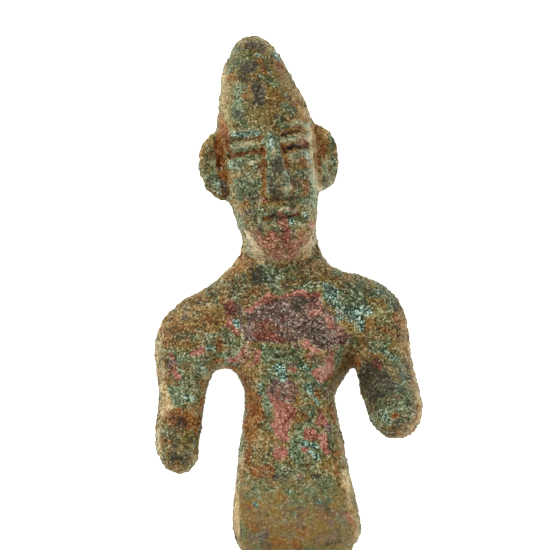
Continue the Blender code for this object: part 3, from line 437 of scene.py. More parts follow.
# Larger patches on the front as many-sided fields: their corners, how much of them is covered, and
# how far their edge fades
FIELDS = {
    "purple": (
        (((-4.3, 21.8), (-1, 21.6), (3, 21.4), (4.2, 21), (3.6, 19.2), (2.2, 17.9), (0, 17.7),
          (-2.2, 18.2), (-3.6, 19.4)), 0.35, 0.6),
        (CHEST_LOSS, 0.92, 0.25),
        (((-7.2, 11.4), (-6.4, 11.4), (-6.2, 10.2), (-7.0, 10.2)), 0.8, 0.2),
        (((-7.2, 12.4), (-6.2, 12.7), (-5.4, 12.2), (-5.1, 10.8), (-5.0, 9.4), (-5.4, 8.9), (-6.2, 9.8),
          (-6.9, 10.8)), 0.9, 0.2),
        (((-6.4, 5.4), (-5.6, 6.8), (-4.4, 7.4), (-3.8, 6.4), (-4.6, 5.0)), 0.55, 0.25),
        (((2.4, 5.7), (4.2, 5.7), (4.9, 4.9), (3.4, 4.4), (2.5, 4.8)), 0.75, 0.25),
        (((-15.1, 6.6), (-14.1, 6.9), (-13.5, 5.6), (-13.9, 4.2), (-14.7, 4.0), (-15.1, 5.2)), 0.7, 0.3),
        (((-2.8, 1.4), (-2.4, 2.6), (-1.4, 3.3), (-1.0, 2.6), (0.0, 2.8), (0.8, 2.2), (1.0, 1.0),
          (0.7, -0.3), (-1.0, 0.0), (-2.3, 0.0)), 0.85, 0.25),
        (((2.2, -12.2), (6.2, -12.6), (7.2, -17.8), (3.4, -17.8)), 0.45, 0.8),
        (((-6.4, -12.4), (3.0, -12.2), (3.6, -18.2), (-6.4, -18.2)), 0.36, 0.8),
        (((-0.2, -9.2), (1.2, -9.0), (1.2, -9.9), (0.0, -10.0)), 0.5, 0.4),
    ),
    "red": (
        (((-2.4, 21.4), (2.4, 21.0), (2.4, 19.0), (0.0, 18.4), (-2.2, 19.2)), 0.3, 0.5),
        (((-7.6, 13.0), (-6.2, 12.8), (-6.2, 11.8), (-6.7, 11.2), (-7.4, 11.2)), 1, 0.2),
        (((-4.7, 10.6), (-3.4, 10.4), (-2.0, 10.5), (-1.1, 10.0), (-1.7, 9.3), (-3.4, 9.3),
          (-4.6, 9.6)), 0.5, 0.4),
        (((-4.4, 8.8), (-2.4, 9.1), (-1.0, 8.5), (0.2, 7.7), (-0.6, 7.2), (-1.6, 7.7),
          (-3.6, 7.9)), 0.75, 0.2),
        (((5.6, 8.8), (7.4, 8.4), (8.1, 7.6), (7.4, 6.8), (6.0, 6.6), (5.2, 7.6)), 0.5, 0.3),
        (((-14.4, 0.6), (-12.6, 0.2), (-12.2, -2.0), (-13.6, -2.6), (-14.6, -1.2)), 0.22, 0.6),
    ),
    "pink": (
        # The face and ears
        (((-4.4, 21.6), (-1, 21.4), (3, 21.2), (4.3, 20.8), (3.9, 18.9), (2.4, 17.6), (0, 17.2),
          (-2.4, 17.7), (-3.8, 19.1)), 0.47, 0.5),
        # The chest and shoulders
        (((1.4, 7.6), (2.8, 7.2), (2.6, 6.4), (0.6, 6.6)), 0.5, 0.3),
        (((-6.0, 5.6), (-5.0, 6.0), (-4.2, 4.8), (-5.8, 4.9)), 0.5, 0.3),
        (((2.0, 6.6), (4.2, 5.9), (6.8, 7.2), (6.4, 5.8), (5.0, 4.6), (3.4, 4.2), (2.2, 4.8)), 0.42, 0.3),
        # The lip over the loss, the rim of the lobe beside it, and the three-cornered flake
        (((-4.8, 11.9), (-4.0, 12.2), (-3.6, 12.7), (-2.6, 13.2), (-2.2, 13.7), (-1.6, 13.8),
          (-1.0, 13.4), (-0.2, 13.35), (0.6, 13.6), (1.4, 13.95), (2.4, 14.0), (3.0, 13.6), (2.8, 13.1),
          (2.0, 13.1), (1.2, 13.1), (0, 12.9), (-0.8, 12.95), (-1.8, 12.8), (-2.4, 12.4), (-3.2, 12.2),
          (-4.0, 11.9), (-4.1, 11.3), (-4.7, 11.0)), 0.95, 0.15),
        (((-7.6, 11.4), (-7.5, 10.0), (-6.7, 9.1), (-5.7, 8.4), (-5.2, 8.8), (-5.8, 9.4), (-6.5, 9.9),
          (-6.9, 10.8), (-7.1, 11.5)), 0.85, 0.15),
        (((-7.5, 5.7), (-6.0, 6.6), (-5.2, 7.9), (-3.9, 7.9), (-3.2, 6.4), (-3.9, 5.2), (-4.3, 4.2),
          (-5.4, 4.8), (-6.8, 5.4)), 0.4, 0.15),
        # Below the loss, towards its left armpit
        (((2.1, 7.9), (2.6, 7.8), (2.9, 7.1), (3.9, 6.6), (4.3, 6.0), (4.1, 5.6), (3.4, 5.9), (2.4, 6.5),
          (1.9, 6.9), (2.0, 7.4)), 1, 0.15),
        (((4.7, 10.8), (5.6, 10.6), (6.5, 9.7), (7.2, 8.7), (6.4, 8.4), (5.2, 8.8),
          (4.8, 9.8)), 0.6, 0.25),
        (((6.0, 8.6), (7.4, 8.4), (8.1, 7.6), (7.4, 6.9), (6.0, 6.7)), 0.35, 0.3),
        (((2.4, 11.9), (3.2, 12.2), (4.5, 12.6), (4.9, 11.4), (4.2, 10.3), (3.0, 10.5)), 0.5, 0.4),
        # The belly
        (((5.0, 6.2), (5.9, 6.0), (5.8, 5.0), (5.6, 3.6), (5.0, 2.6), (4.1, 2.1), (3.4, 2.5), (2.8, 3.6),
          (3.2, 4.0), (4.4, 4.3), (4.9, 4.9), (5.0, 5.6)), 1, 0.15),
        (((-2.6, 1.4), (-1.0, 2.0), (0.8, 1.8), (0.9, -0.2), (-1.0, 0.2), (-2.3, 0.2)), 0.4, 0.3),
        (((-2.2, 0.6), (-1.3, 0.3), (0.2, -0.2), (0.9, -1.0), (0.7, -1.9), (-0.1, -2.8), (-0.4, -3.8),
          (-0.3, -4.6), (-1.0, -4.8), (-1.9, -4.6), (-2.2, -3.8), (-2.4, -2.8), (-2.1, -2.2),
          (-2.4, -1.4), (-2.1, -0.6)), 0.93, 0.18),
        (((-2.6, -6.4), (-2.2, -5.6), (-1.2, -5.4), (-0.7, -6.0), (-0.8, -6.7), (-1.6, -7.1),
          (-2.4, -7.0)), 0.95, 0.15),
        (((3.3, -1.7), (3.9, -1.3), (4.3, -2.0), (4.6, -2.8), (4.2, -3.4), (3.2, -3.4),
          (3.0, -2.6)), 0.95, 0.15),
        (((1.5, -4.2), (1.8, -3.4), (2.6, -3.4), (3.1, -3.1), (3.2, -4.0), (3.0, -4.9), (2.2, -4.9),
          (1.6, -4.8)), 0.85, 0.15),
        (((3.0, -4.0), (4.2, -4.0), (4.3, -4.8), (4.2, -5.6), (4.7, -6.4), (4.2, -6.8), (3.5, -6.4),
          (3.2, -5.4), (2.9, -4.8)), 0.95, 0.15),
        # The kilt
        (((5.8, -11.6), (7.0, -11.8), (8.0, -18.0), (6.4, -18.2)), 0.28, 0.5),
    ),
    "rust": (
        # The cap
        (((0.6, 39.6), (3.4, 39.4), (3.6, 37.0), (0.8, 36.6)), 0.15, 0.6),
        # The face and ears
        (((-6.4, 19.4), (-3.6, 19.0), (-3.6, 16.8), (-6.0, 16.6)), 0.48, 0.5),
        (((-7.4, 36.2), (-6.0, 36.0), (-5.6, 33.6), (-5.2, 31.6), (-6.6, 31.4), (-7.4, 33.0)), 0.75, 0.5),
        # The neck
        (((2.0, 18.6), (4.6, 18.6), (4.8, 15.2), (2.0, 16.2)), 0.38, 0.5),
        # The chest and shoulders
        (((-4.0, 10.8), (-1.2, 10.6), (-0.4, 9.0), (-1.4, 8.2), (-4.2, 8.4)), 0.3, 0.5),
        (((6.2, 5.6), (8.6, 6.0), (9.6, 4.4), (8.2, 3.4), (6.4, 3.6)), 0.4, 0.6),
        # Its right arm
        (((-16.8, -2.4), (-14.8, -2.6), (-14.4, -4.6), (-16.6, -5.0)), 0.38, 0.5),
        (((-16.2, 9.6), (-13.0, 11.4), (-11.0, 10.6), (-11.6, 8.0), (-16.0, 7.0)), 0.4, 0.6),
        (((-15.6, 0.2), (-12.0, 0.4), (-11.4, -1.6), (-12.6, -2.4), (-15.4, -2.4)), 0.7, 0.6),
        # Its left arm
        (((10.2, 8.4), (12.2, 8.2), (12.0, 5.8), (10.2, 5.8)), 0.35, 0.5),
        (((14.8, 6.0), (16.2, 5.6), (16.2, -2.0), (14.0, -4.8), (11.4, -4.4), (14.6, -2.0)), 0.46, 0.4),
        # The belly
        (((-5.6, 2.6), (-3.6, 1.2), (-2.9, -1.0), (-3.8, -2.8), (-4.8, -6.6), (-5.9, -6.8)), 0.7, 0.5),
        # The kilt
        (((-6.4, -9.8), (-5.0, -10.0), (-4.8, -11.4), (-6.6, -11.4)), 0.32, 0.5),
        (((-3.4, -14.8), (0.4, -15.0), (0.6, -18.4), (-3.4, -18.4)), 0.42, 0.8),
        (((-5.6, -12.2), (4.0, -13.6), (4.6, -18.0), (-5.0, -18.2)), 0.14, 0.8),
    ),
    "ochre": (
        # The cap
        (((-0.8, 39.0), (3.6, 38.6), (4.6, 36.0), (-0.6, 36.0)), 0.85, 0.8),
        (((0.6, 39.6), (3.4, 39.4), (3.6, 37.4), (0.8, 37.6)), 0.6, 0.5),
        (((-6.0, 45.0), (-1.6, 47.0), (2.4, 42.0), (5.4, 36.0), (-6.6, 35.6)), 0.3, 0.8),
        (((-6.4, 41.6), (-4.8, 41.6), (-4.6, 40.0), (-5.4, 38.0), (-6.6, 38.4)), 0.45, 0.5),
        # The face and ears
        (((-6.4, 19.4), (-3.6, 19.2), (-3.6, 16.8), (-6.0, 16.6)), 0.7, 0.5),
        (((-3.4, 21.4), (3.0, 21.0), (2.6, 19.0), (0.0, 18.2), (-2.8, 19.2)), 0.7, 0.6),
        # The neck
        (((2.0, 18.6), (4.6, 18.6), (4.8, 16.4), (2.0, 16.6)), 0.7, 0.5),
        # The chest and shoulders
        (((-15.8, 10.8), (-10.0, 15.4), (-7.6, 13.4), (-9.0, 10.4), (-11.6, 7.6),
          (-15.8, 7.0)), 0.95, 0.6),
        # Its right arm
        (((-16.6, 9.4), (-15.2, 9.6), (-15.2, 4.4), (-16.4, 4.4)), 0.6, 0.5),
        # Its left arm
        (((10.2, 8.4), (12.4, 8.2), (12.0, 5.8), (10.2, 5.8)), 0.6, 0.5),
        # The kilt
        (((6.0, -11.0), (7.2, -11.2), (8.2, -18.0), (6.8, -18.2)), 0.5, 0.5),
        (((-7.4, -4.0), (-5.2, -4.4), (-4.6, -11.4), (-7.2, -11.6)), 0.62, 0.6),
        (((-7.0, -11.0), (6.4, -11.0), (6.8, -18.4), (-6.6, -18.4)), 0.46, 0.8),
    ),
    "turquoise": (
        (((-4.9, 39.8), (-3.9, 39.6), (-4.0, 36.6), (-4.9, 36.2)), 0.26, 0.4),
        (((-8.6, 28.4), (-6.4, 28.4), (-6.2, 26.0), (-8.2, 26.2)), 0.34, 0.5),
        (((6.2, 10.8), (7.4, 10.8), (7.6, 9.4), (6.2, 9.6)), 0.72, 0.3),
        (((4.9, 14.8), (6.6, 14.9), (6.8, 12.4), (8.4, 11.6), (9.9, 11.6), (9.8, 8.6), (8.8, 8.6),
          (7.6, 9.8), (6.8, 10.8), (5.4, 12.0), (4.9, 13.0)), 0.6, 0.4),
        (((-1.9, 4.6), (-1.0, 5.2), (-0.3, 4.8), (-0.1, 3.2), (-0.8, 2.5), (-1.3, 3.4)), 0.9, 0.18),
    ),
    "green": (
        # The cap
        (((-1.4, 40.6), (1.6, 40.4), (1.6, 38.8), (-1.2, 39.2)), 0.5, 0.5),
        (((-5.6, 44.4), (-3.2, 45.4), (-3.6, 41.6), (-5.8, 41.4)), 0.6, 0.5),
        (((-5.2, 40.2), (-3.6, 40.0), (-3.4, 35.6), (-5.2, 35.4)), 0.7, 0.5),
        (((-4.6, 44.8), (-1.6, 43.6), (-2.2, 41.2), (-4.2, 41.2)), 0.5, 0.5),
        # The face and ears
        (((-1.8, 30.0), (1.6, 30.2), (1.4, 25.6), (-1.6, 25.6)), 0.6, 0.5),
        (((-5.6, 24.0), (-4.2, 24.0), (-4.2, 21.0), (-5.4, 21.4)), 0.6, 0.4),
        (((1.0, 23.4), (3.6, 23.4), (3.4, 21.8), (1.2, 21.9)), 0.6, 0.4),
        (((-5.4, 28.6), (-2.4, 28.0), (-1.6, 25.4), (-3.4, 24.6), (-5.8, 25.6)), 0.7, 0.6),
        (((2.2, 28.6), (5.2, 29.0), (5.0, 24.0), (3.4, 22.8), (2.2, 25.0)), 0.75, 0.6),
        (((-1.8, 33.2), (0.8, 33.2), (0.8, 29.4), (-1.8, 29.6)), 0.75, 0.5),
        (((-9.2, 29.0), (-6.9, 28.6), (-6.3, 26.2), (-8.2, 26.4)), 0.65, 0.5),
        (((-5.8, 34.6), (-2.4, 34.6), (-2.2, 32.8), (-5.4, 32.8)), 0.6, 0.4),
        (((6.7, 33.6), (8.2, 32.4), (8.5, 29.6), (7.6, 27.4), (6.7, 28.4)), 0.75, 0.4),
        # The neck
        (((-6.2, 16.0), (-4.6, 16.4), (-4.6, 14.2), (-6.4, 14.4)), 0.6, 0.5),
        (((-3.0, 17.4), (2.0, 17.2), (1.6, 15.0), (-2.6, 15.0)), 0.6, 0.6),
        # The chest and shoulders
        (((-8.0, 7.0), (-6.6, 7.0), (-5.6, 6.0), (-6.0, 4.4), (-8.2, 4.8)), 0.7, 0.4),
        (((6.2, 16.4), (8.0, 15.8), (7.8, 14.8), (6.0, 15.2)), 0.6, 0.4),
        (((7.2, 10.6), (8.6, 10.4), (8.4, 9.2), (7.2, 9.4)), 0.8, 0.3),
        (((-11.2, 9.4), (-7.6, 9.8), (-4.8, 8.6), (-4.4, 6.8), (-7.2, 4.6), (-8.6, 5.0),
          (-11.0, 6.0)), 0.6, 0.6),
        (((4.4, 14.6), (9.6, 13.6), (11.0, 11.0), (9.4, 9.6), (5.4, 11.6)), 0.85, 0.6),
        (((-3.4, 7.2), (2.0, 7.0), (2.2, 2.8), (-2.8, 3.0)), 0.6, 0.5),
        # Its right arm
        (((-11.8, 5.0), (-9.6, 5.2), (-9.8, 3.6), (-11.6, 3.2)), 0.6, 0.5),
        (((-15.2, 7.6), (-11.2, 7.4), (-11.0, 1.0), (-14.8, 0.8)), 0.45, 0.6),
        # Its left arm
        (((9.6, 1.6), (14.6, 2.4), (15.6, -2.0), (13.6, -4.6), (10.4, -2.8)), 0.75, 0.6),
        # The belly
        (((-0.5, -3.4), (1.2, -3.2), (1.5, -5.4), (3.2, -7.4), (1.8, -8.6), (-0.6, -7.6)), 0.8, 0.5),
        (((1.2, 2.6), (4.8, 2.4), (4.0, -2.0), (1.2, -2.2)), 0.5, 0.6),
        # The kilt
        (((-6.0, -15.8), (-4.2, -16.2), (-4.2, -18.4), (-6.0, -18.2)), 0.55, 0.5),
        (((0.2, -8.0), (2.0, -8.2), (1.2, -10.4), (-1.0, -10.4)), 0.6, 0.5),
        (((-1.6, -8.8), (5.0, -8.8), (5.2, -12.8), (2.6, -14.0), (-1.2, -13.4)), 0.52, 0.8),
        (((-4.6, -9.4), (-3.2, -9.2), (-2.6, -11.6), (-4.0, -12.6), (-4.6, -12.4)), 0.4, 0.8),
        (((-7.0, -14.8), (-4.6, -15.2), (-4.4, -18.2), (-6.6, -18.0)), 0.4, 0.8),
        (((4.6, -14.0), (6.2, -14.2), (6.4, -17.6), (4.2, -17.6)), 0.4, 0.8),
    ),
    "dark": (
        # The cap
        (((-3.3, 45.2), (-1.9, 45.4), (-0.4, 44.8), (-0.3, 44.0), (-1.4, 43.6), (-3.2, 44.3)), 0.55, 0.3),
        (((-4.1, 42.9), (-1.8, 42.9), (-1.9, 41.2), (-3.4, 41.2), (-4.0, 41.9)), 0.65, 0.4),
        (((-2.5, 40.0), (-1.7, 39.8), (-0.9, 39.0), (-1.0, 37.2), (-1.6, 36.9), (-2.5, 37.0),
          (-2.6, 38.6)), 0.7, 0.4),
        (((-5.4, 43.0), (-1.0, 45.2), (3.0, 38.0), (3.4, 36.0), (-5.4, 35.4)), 0.24, 0.8),
        # The face and ears
        (((-7.6, 28.4), (-6.2, 28.4), (-6.0, 26.0), (-7.4, 26.0)), 0.45, 0.4),
        (((-5.0, 28.2), (-2.6, 27.6), (-1.8, 25.6), (-3.4, 24.8), (-5.2, 25.8)), 0.4, 0.6),
        (((-1.2, 30.2), (1.0, 30.2), (1.0, 25.0), (-1.2, 25.0)), 0.55, 0.5),
        # The neck: the first field is painted shade under the jaw
        (((-4.6, 17.8), (-2, 17.2), (2, 17), (4.6, 17.6), (5.4, 15), (2, 14.4), (-2, 14.2),
          (-5, 14.8)), 0.35, 0.6),
        (((-4.2, 16.8), (-2.6, 16.8), (-2.5, 15.0), (-4.0, 14.8)), 0.95, 0.3),
        # The chest and shoulders: the last field is painted shade over its left shoulder
        (((1.0, 9.0), (4.8, 9.0), (7.8, 7.8), (7.0, 6.4), (3.0, 7.2)), 0.4, 0.5),
        (((0.7, 12.9), (3.2, 13.1), (2.9, 12.3), (1.9, 11.2), (1.1, 11.4)), 0.75, 0.3),
        (((-1.6, 7.2), (2.0, 6.9), (2.0, 5.2), (-1.2, 5.4)), 0.35, 0.5),
        (((4.6, 15.0), (9.6, 14.6), (13.0, 12.0), (9.6, 10.4), (6.8, 12.0)), 0.34, 0.8),
        # Its right arm
        (((-15.8, -4.2), (-12.4, -3.6), (-11.8, -6.0), (-14.4, -7.6), (-16.2, -6.4)), 0.45, 0.6),
        (((-15.6, -5.0), (-13.6, -5.0), (-13.2, -6.4), (-15.2, -6.8)), 0.75, 0.4),
        (((-15.2, 5.8), (-11.6, 6.2), (-11.6, 4.4), (-14.6, 3.4)), 0.3, 0.6),
        (((-15.0, -0.6), (-13.0, -0.6), (-12.8, -2.4), (-15.0, -2.6)), 0.5, 0.5),
        # Its left arm: painted shade on the inner side of the forearm and over its lower part
        (((9, 4.5), (12.5, 4.5), (12.5, 1), (11, -0.5), (9.5, -1.5), (8.8, 2)), 0.7, 0.9),
        (((9.8, 1.6), (14.8, 2.4), (15.6, -2.0), (13.6, -4.0), (10.6, -2.6)), 0.28, 0.8),
    ),
}

# How much of a crust gives way where the crust is yellower
GIVES_WAY = {"green": 1, "turquoise": 1, "rust": 0.8, "ochre": 0.5}

# How much of each crust is mixed in all over: least cover, swing, size of its patches, seed
MOTTLE = {
    "ochre": (0.4, 0.55, 3.2, 31),
    "green": (0.3, 0.52, 2.6, 32),
    "rust": (0.1, 0.4, 2.2, 36),
    "turquoise": (-0.04, 0.32, 1.7, 37),
    "dark": (0.1, 0.34, 2.0, 33),
    "purple": (-0.18, 0.35, 2.0, 34),
    "pink": (-0.24, 0.3, 1.6, 35),
    "red": (-0.15, 0.35, 1.8, 38),
}

# Patches of each crust on the sides and the unseen back: their size, seed and how rare they are
BACK_PATCHES = {
    "rust": (3.2, 21, 0.3),
    "green": (4.5, 22, 0.1),
    "ochre": (5.0, 23, 0.0),
    "turquoise": (2.0, 24, 0.6),
    "dark": (3.0, 25, 0.45),
    "purple": (3.6, 26, 0.65),
    "pink": (2.4, 27, 0.9),
}


def smooth_step(low, high, x):
    """0 at low and 1 at high, eased at both ends."""
    t = np.clip((x - low) / (high - low), 0, 1)
    return t * t * (3 - 2 * t)


def chance(cell, seed):
    """A fixed random number from 0 to 1 for each whole-numbered cell."""
    mixed = cell.astype(np.int64) * (73856093, 19349663, 83492791)
    h = mixed[..., 0] ^ mixed[..., 1] ^ mixed[..., 2] ^ (seed * 2654435761)
    for _ in range(2):
        h = ((h ^ (h >> 15)) * 2246822519) & 0xFFFFFFFF
    return (h ^ (h >> 13)).astype(float) % 65536 / 65536


def clouds(points, size, seed, layers=1):
    """Soft noise from -1 to 1 whose lumps are size across. Each further layer is twice as fine."""
    total = np.zeros(len(points))
    for layer in range(layers):
        p = points * (2**layer / size) + 19.7 * seed
        cell = np.floor(p)
        t = p - cell
        t = t * t * (3 - 2 * t)
        value = np.zeros(len(points))
        for corner in np.ndindex(2, 2, 2):
            weight = np.prod(np.where(corner, t, 1 - t), axis=1)
            value += weight * chance(cell + corner, seed + layer)
        total += (2 * value - 1) * 0.6**layer
    return total


def nodules(points, size, seed):
    """The distance to the nearest of some scattered grains, in sizes, and that grain's random number."""
    p = points / size
    cell = np.floor(p)
    nearest = np.full(len(points), 9.0)
    number = np.zeros(len(points))
    for step in np.ndindex(3, 3, 3):
        near = cell + step - 1
        centre = near + np.stack([chance(near, seed + k) for k in range(3)], axis=1)
        away = np.linalg.norm(p - centre, axis=1)
        closer = away < nearest
        nearest[closer] = away[closer]
        number[closer] = chance(near[closer], seed + 7)
    return nearest, number


def front_place(points):
    """Points in millimetres from the waist: across and up."""
    return points[:, :2] - WAIST


def front_facing(normals):
    """1 on what faces the front, 0 on the sides and the back."""
    return smooth_step(-0.15, 0.3, normals[:, 2])


def rounded_edge(normals):
    """1 where the front turns to the side, 0 on the front and on the back."""
    return smooth_step(-0.5, -0.1, normals[:, 2]) * smooth_step(0.75, 0.3, normals[:, 2])


def from_gas_hole(place):
    """How far each place is from the middle of the gas hole."""
    return np.linalg.norm(place - GAS_HOLE, axis=1)


def stroke_mask(place, strokes, fray):
    """How strongly a list of strokes covers each place. fray moves their edges in and out."""
    cover = np.zeros(len(place))
    for x0, y0, x1, y1, half, strength in strokes:
        start, run = np.array((x0, y0)), np.array((x1 - x0, y1 - y0))
        long = max(float(run @ run), 1e-9)
        t = np.clip((place - start) @ run / long, 0, 1)
        away = np.linalg.norm(place - start - np.outer(t, run), axis=1)
        edge = away - half + fray * min(1, 1.6 * half)
        soft = 0.15 + 0.25 * half
        cover = np.maximum(cover, strength * smooth_step(soft, -soft, edge))
    return cover


def field_mask(place, corners, fray, soft):
    """1 inside a many-sided field, 0 outside it, fading over soft. fray moves its edge in and out."""
    corners = np.array(corners)
    nearest = np.full(len(place), 1e9)
    inside = np.zeros(len(place), bool)
    for a, b in zip(corners, np.roll(corners, -1, axis=0)):
        t = np.clip((place - a) @ (b - a) / ((b - a) @ (b - a)), 0, 1)
        nearest = np.minimum(nearest, np.linalg.norm(place - a - np.outer(t, b - a), axis=1))
        crosses = (a[1] > place[:, 1]) != (b[1] > place[:, 1])
        meets = a[0] + (place[:, 1] - a[1]) * (b[0] - a[0]) / (b[1] - a[1] + 1e-12)
        inside ^= crosses & (place[:, 0] < meets)
    return smooth_step(soft, -soft, np.where(inside, -nearest, nearest) + (0.3 + 2 * soft) * fray)


def line_mask(across, up, start, end, bow, width):
    """1 on a line that bows by bow in its middle, falling to 0 beside it."""
    (x0, y0), (x1, y1) = start, end
    t = np.clip((across - x0) / (x1 - x0), 0, 1)
    line = y0 + (y1 - y0) * t + bow * 4 * t * (1 - t)
    beyond = np.maximum(0, np.maximum(min(x0, x1) - across, across - max(x0, x1)))
    return np.exp(-(((up - line) ** 2 + beyond**2) / width**2))


def lines_mask(across, up, lines):
    """The sum of some of the face's lines, each times its depth or height."""
    total = np.zeros(len(across))
    for start, end, bow, width, amount in lines:
        total += amount * line_mask(across, up, start, end, bow, width)
    return total


def read_points(mesh):
    points = np.empty(len(mesh.vertices) * 3)
    mesh.vertices.foreach_get("co", points)
    return points.reshape(-1, 3) / MM


def read_normals(mesh):
    normals = np.empty(len(mesh.vertices) * 3)
    mesh.vertex_normals.foreach_get("vector", normals)
    return normals.reshape(-1, 3)


def write_points(mesh, points):
    mesh.vertices.foreach_set("co", (points * MM).ravel())
    mesh.update()


def evaluated_copy(obj, name):
    graph = bpy.context.evaluated_depsgraph_get()
    mesh = bpy.data.meshes.new_from_object(obj.evaluated_get(graph), depsgraph=graph)
    mesh.name = name
    return mesh


def remade(mesh, name, *modifiers):
    """The mesh after a row of modifiers, each a kind and its settings."""
    obj = bpy.data.objects.new(name, mesh)
    bpy.context.scene.collection.objects.link(obj)
    for number, (kind, settings) in enumerate(modifiers):
        modifier = obj.modifiers.new(f"step_{number}", kind)
        for key, value in settings.items():
            setattr(modifier, key, value)
    bpy.context.view_layer.update()
    made = evaluated_copy(obj, name)
    bpy.data.objects.remove(obj)
    return made


def head_frame():
    """Turns the head's own frame (across, up from the chin, forward) into the idol's, in millimetres."""
    x, y = CHIN[0] + WAIST[0], CHIN[1] + WAIST[1]
    return np.array(
        Matrix.Translation((x, y, HEAD_DEPTH))
        @ Matrix.Rotation(HEAD_LEAN, 4, "Z")
        @ Matrix.Rotation(HEAD_TURN, 4, "Y")
    )


def cut_face(points, normals):
    """Deepens the face's carved lines.

    Returns each point's shift, and how hollow and how raised the carving is there.
    """
    frame_now = head_frame()
    local = (points - frame_now[:3, 3]) @ frame_now[:3, :3]
    # Corrosion has eaten the lines out unevenly
    across = local[:, 0] + 0.16 * clouds(points, 0.9, 41, 2)
    up = local[:, 1] + 0.14 * clouds(points, 0.9, 42, 2)
    eaten = 1 + 0.45 * clouds(points, 1.3, 43)
    front = smooth_step(0.15, 0.5, normals @ frame_now[:3, 2]) * (local[:, 2] > 0) * (up > 0)

    cut = lines_mask(across, up, MIDDLE_CUTS)
    ridge = lines_mask(across, up, LOWER_LIP)
    nose = 0.34 * line_mask(up, across, (NOSE_BASE + 0.3, 0), (EYE_LINE + 1.2, 0), 0, 0.65)
    for side in (-1, 1):
        out = side * across
        cut += lines_mask(out, up, SIDE_CUTS)
        ridge += lines_mask(out, up, SIDE_RIDGES)
        # The groove beside the nose, and its wing
        cut += 0.24 * line_mask(up, out, (NOSE_BASE + 0.3, 1.8), (EYE_LINE - 0.2, 1.1), 0, 0.38)
        nose += 0.2 * line_mask(out, up, (0.6, NOSE_BASE + 0.5), (1.2, NOSE_BASE + 0.5), 0, 0.45)
        # The groove behind the cheek, where the ear springs from the head
        groove = np.exp(-(((out - EAR_X + 0.05) / 0.42) ** 2))
        groove *= smooth_step(EAR_HALF_HEIGHT, EAR_HALF_HEIGHT - 1.4, np.abs(up - EAR_MIDDLE))
        cut += 0.5 * groove
    cut *= eaten
    hollow = smooth_step(0.07, 0.28, cut) * front
    crest = smooth_step(0.04, 0.12, ridge - cut) * front

    # Under the jaw the neck lies back
    below = 0.1 * across**2 - up
    throat = smooth_step(0.0, 0.5, below) * smooth_step(2.6, 0.9, below) * (np.abs(across) < 5.6)
    throat *= smooth_step(0.1, 0.5, normals[:, 2])
    return np.outer((ridge + nose - cut) * front - 0.55 * throat, frame_now[:3, 2]), hollow, crest


def hollowness(mesh, passes):
    """How far each point lies below its smoothed surroundings, in millimetres."""
    points, normals = read_points(mesh), read_normals(mesh)
    soft = remade(mesh.copy(), "softened", ("SMOOTH", {"factor": 0.5, "iterations": passes}))
    return ((read_points(soft) - points) * normals).sum(1)


def crust_masks(points, normals, sunk, hollow, crest):
    """How much of each crust lies at each point, from 0 to 1."""
    place = front_place(points)
    up = place[:, 1]
    facing = front_facing(normals)
    away = 1 - smooth_step(0.0, 0.4, normals[:, 2])
    fray = 0.3 * clouds(points, 1.2, 11, 2) + 0.15 * clouds(points, 0.4, 12)
    loss = field_mask(place, CHEST_LOSS, fray, 0.25) * facing
    low = smooth_step(*YELLOW_KILT, up)
    neck = smooth_step(*YELLOW_NECK[0], up) * smooth_step(*YELLOW_NECK[1], up)
    yellow = 0.5 * smooth_step(*YELLOW_CAP, up) + 0.4 * neck + 0.25 * low
    masks = {}
    for name in TONES:
        floor, swing, size, seed = MOTTLE.get(name, (0, 0, 1, 0))
        mask = (floor + swing * (1 - 0.35 * low) * clouds(points, size, seed, 2)) * (1 - 0.6 * loss)
        mask *= 1 - GIVES_WAY.get(name, 0) * yellow
        if name in BACK_PATCHES:
            size, seed, floor = BACK_PATCHES[name]
            patch = clouds(points, size, seed, 3) + 0.5 * fray
            mask = np.maximum(mask, away * 0.62 * smooth_step(floor, floor + 0.45, patch))
        named = stroke_mask(place, PATCHES.get(name, ()), fray)
        for corners, strength, soft in FIELDS.get(name, ()):
            named = np.maximum(named, strength * field_mask(place, corners, fray, soft))
        # Scraps of crust are left on the bare oxide
        if name in ("pink", "purple"):
            named = named * (1 - 0.32 * smooth_step(0.1, 0.5, clouds(points, 0.6, 41, 2)))
        masks[name] = np.maximum(mask, named * facing)

    # Rust and dark earth are left in the hollows, and what stands out is greener or worn pale
    deep = smooth_step(0.03, 0.16, sunk)
    masks["rust"] = np.maximum(masks["rust"] + 0.3 * deep, 0.9 * hollow)
    masks["red"] += 0.2 * deep
    masks["dark"] += 0.25 * deep
    masks["green"] = np.maximum(masks["green"], 0.85 * crest)
    masks["turquoise"] = np.maximum(masks["turquoise"], 0.2 * crest)
    masks["pale"] += 0.35 * smooth_step(-0.03, -0.14, sunk) * (1 - hollow)
    in_hole = smooth_step(0.6, 0.45, from_gas_hole(place))
    masks["rust"] = np.maximum(masks["rust"], 0.6 * facing * in_hole)
    return {name: np.clip(mask, 0, 1) for name, mask in masks.items()}


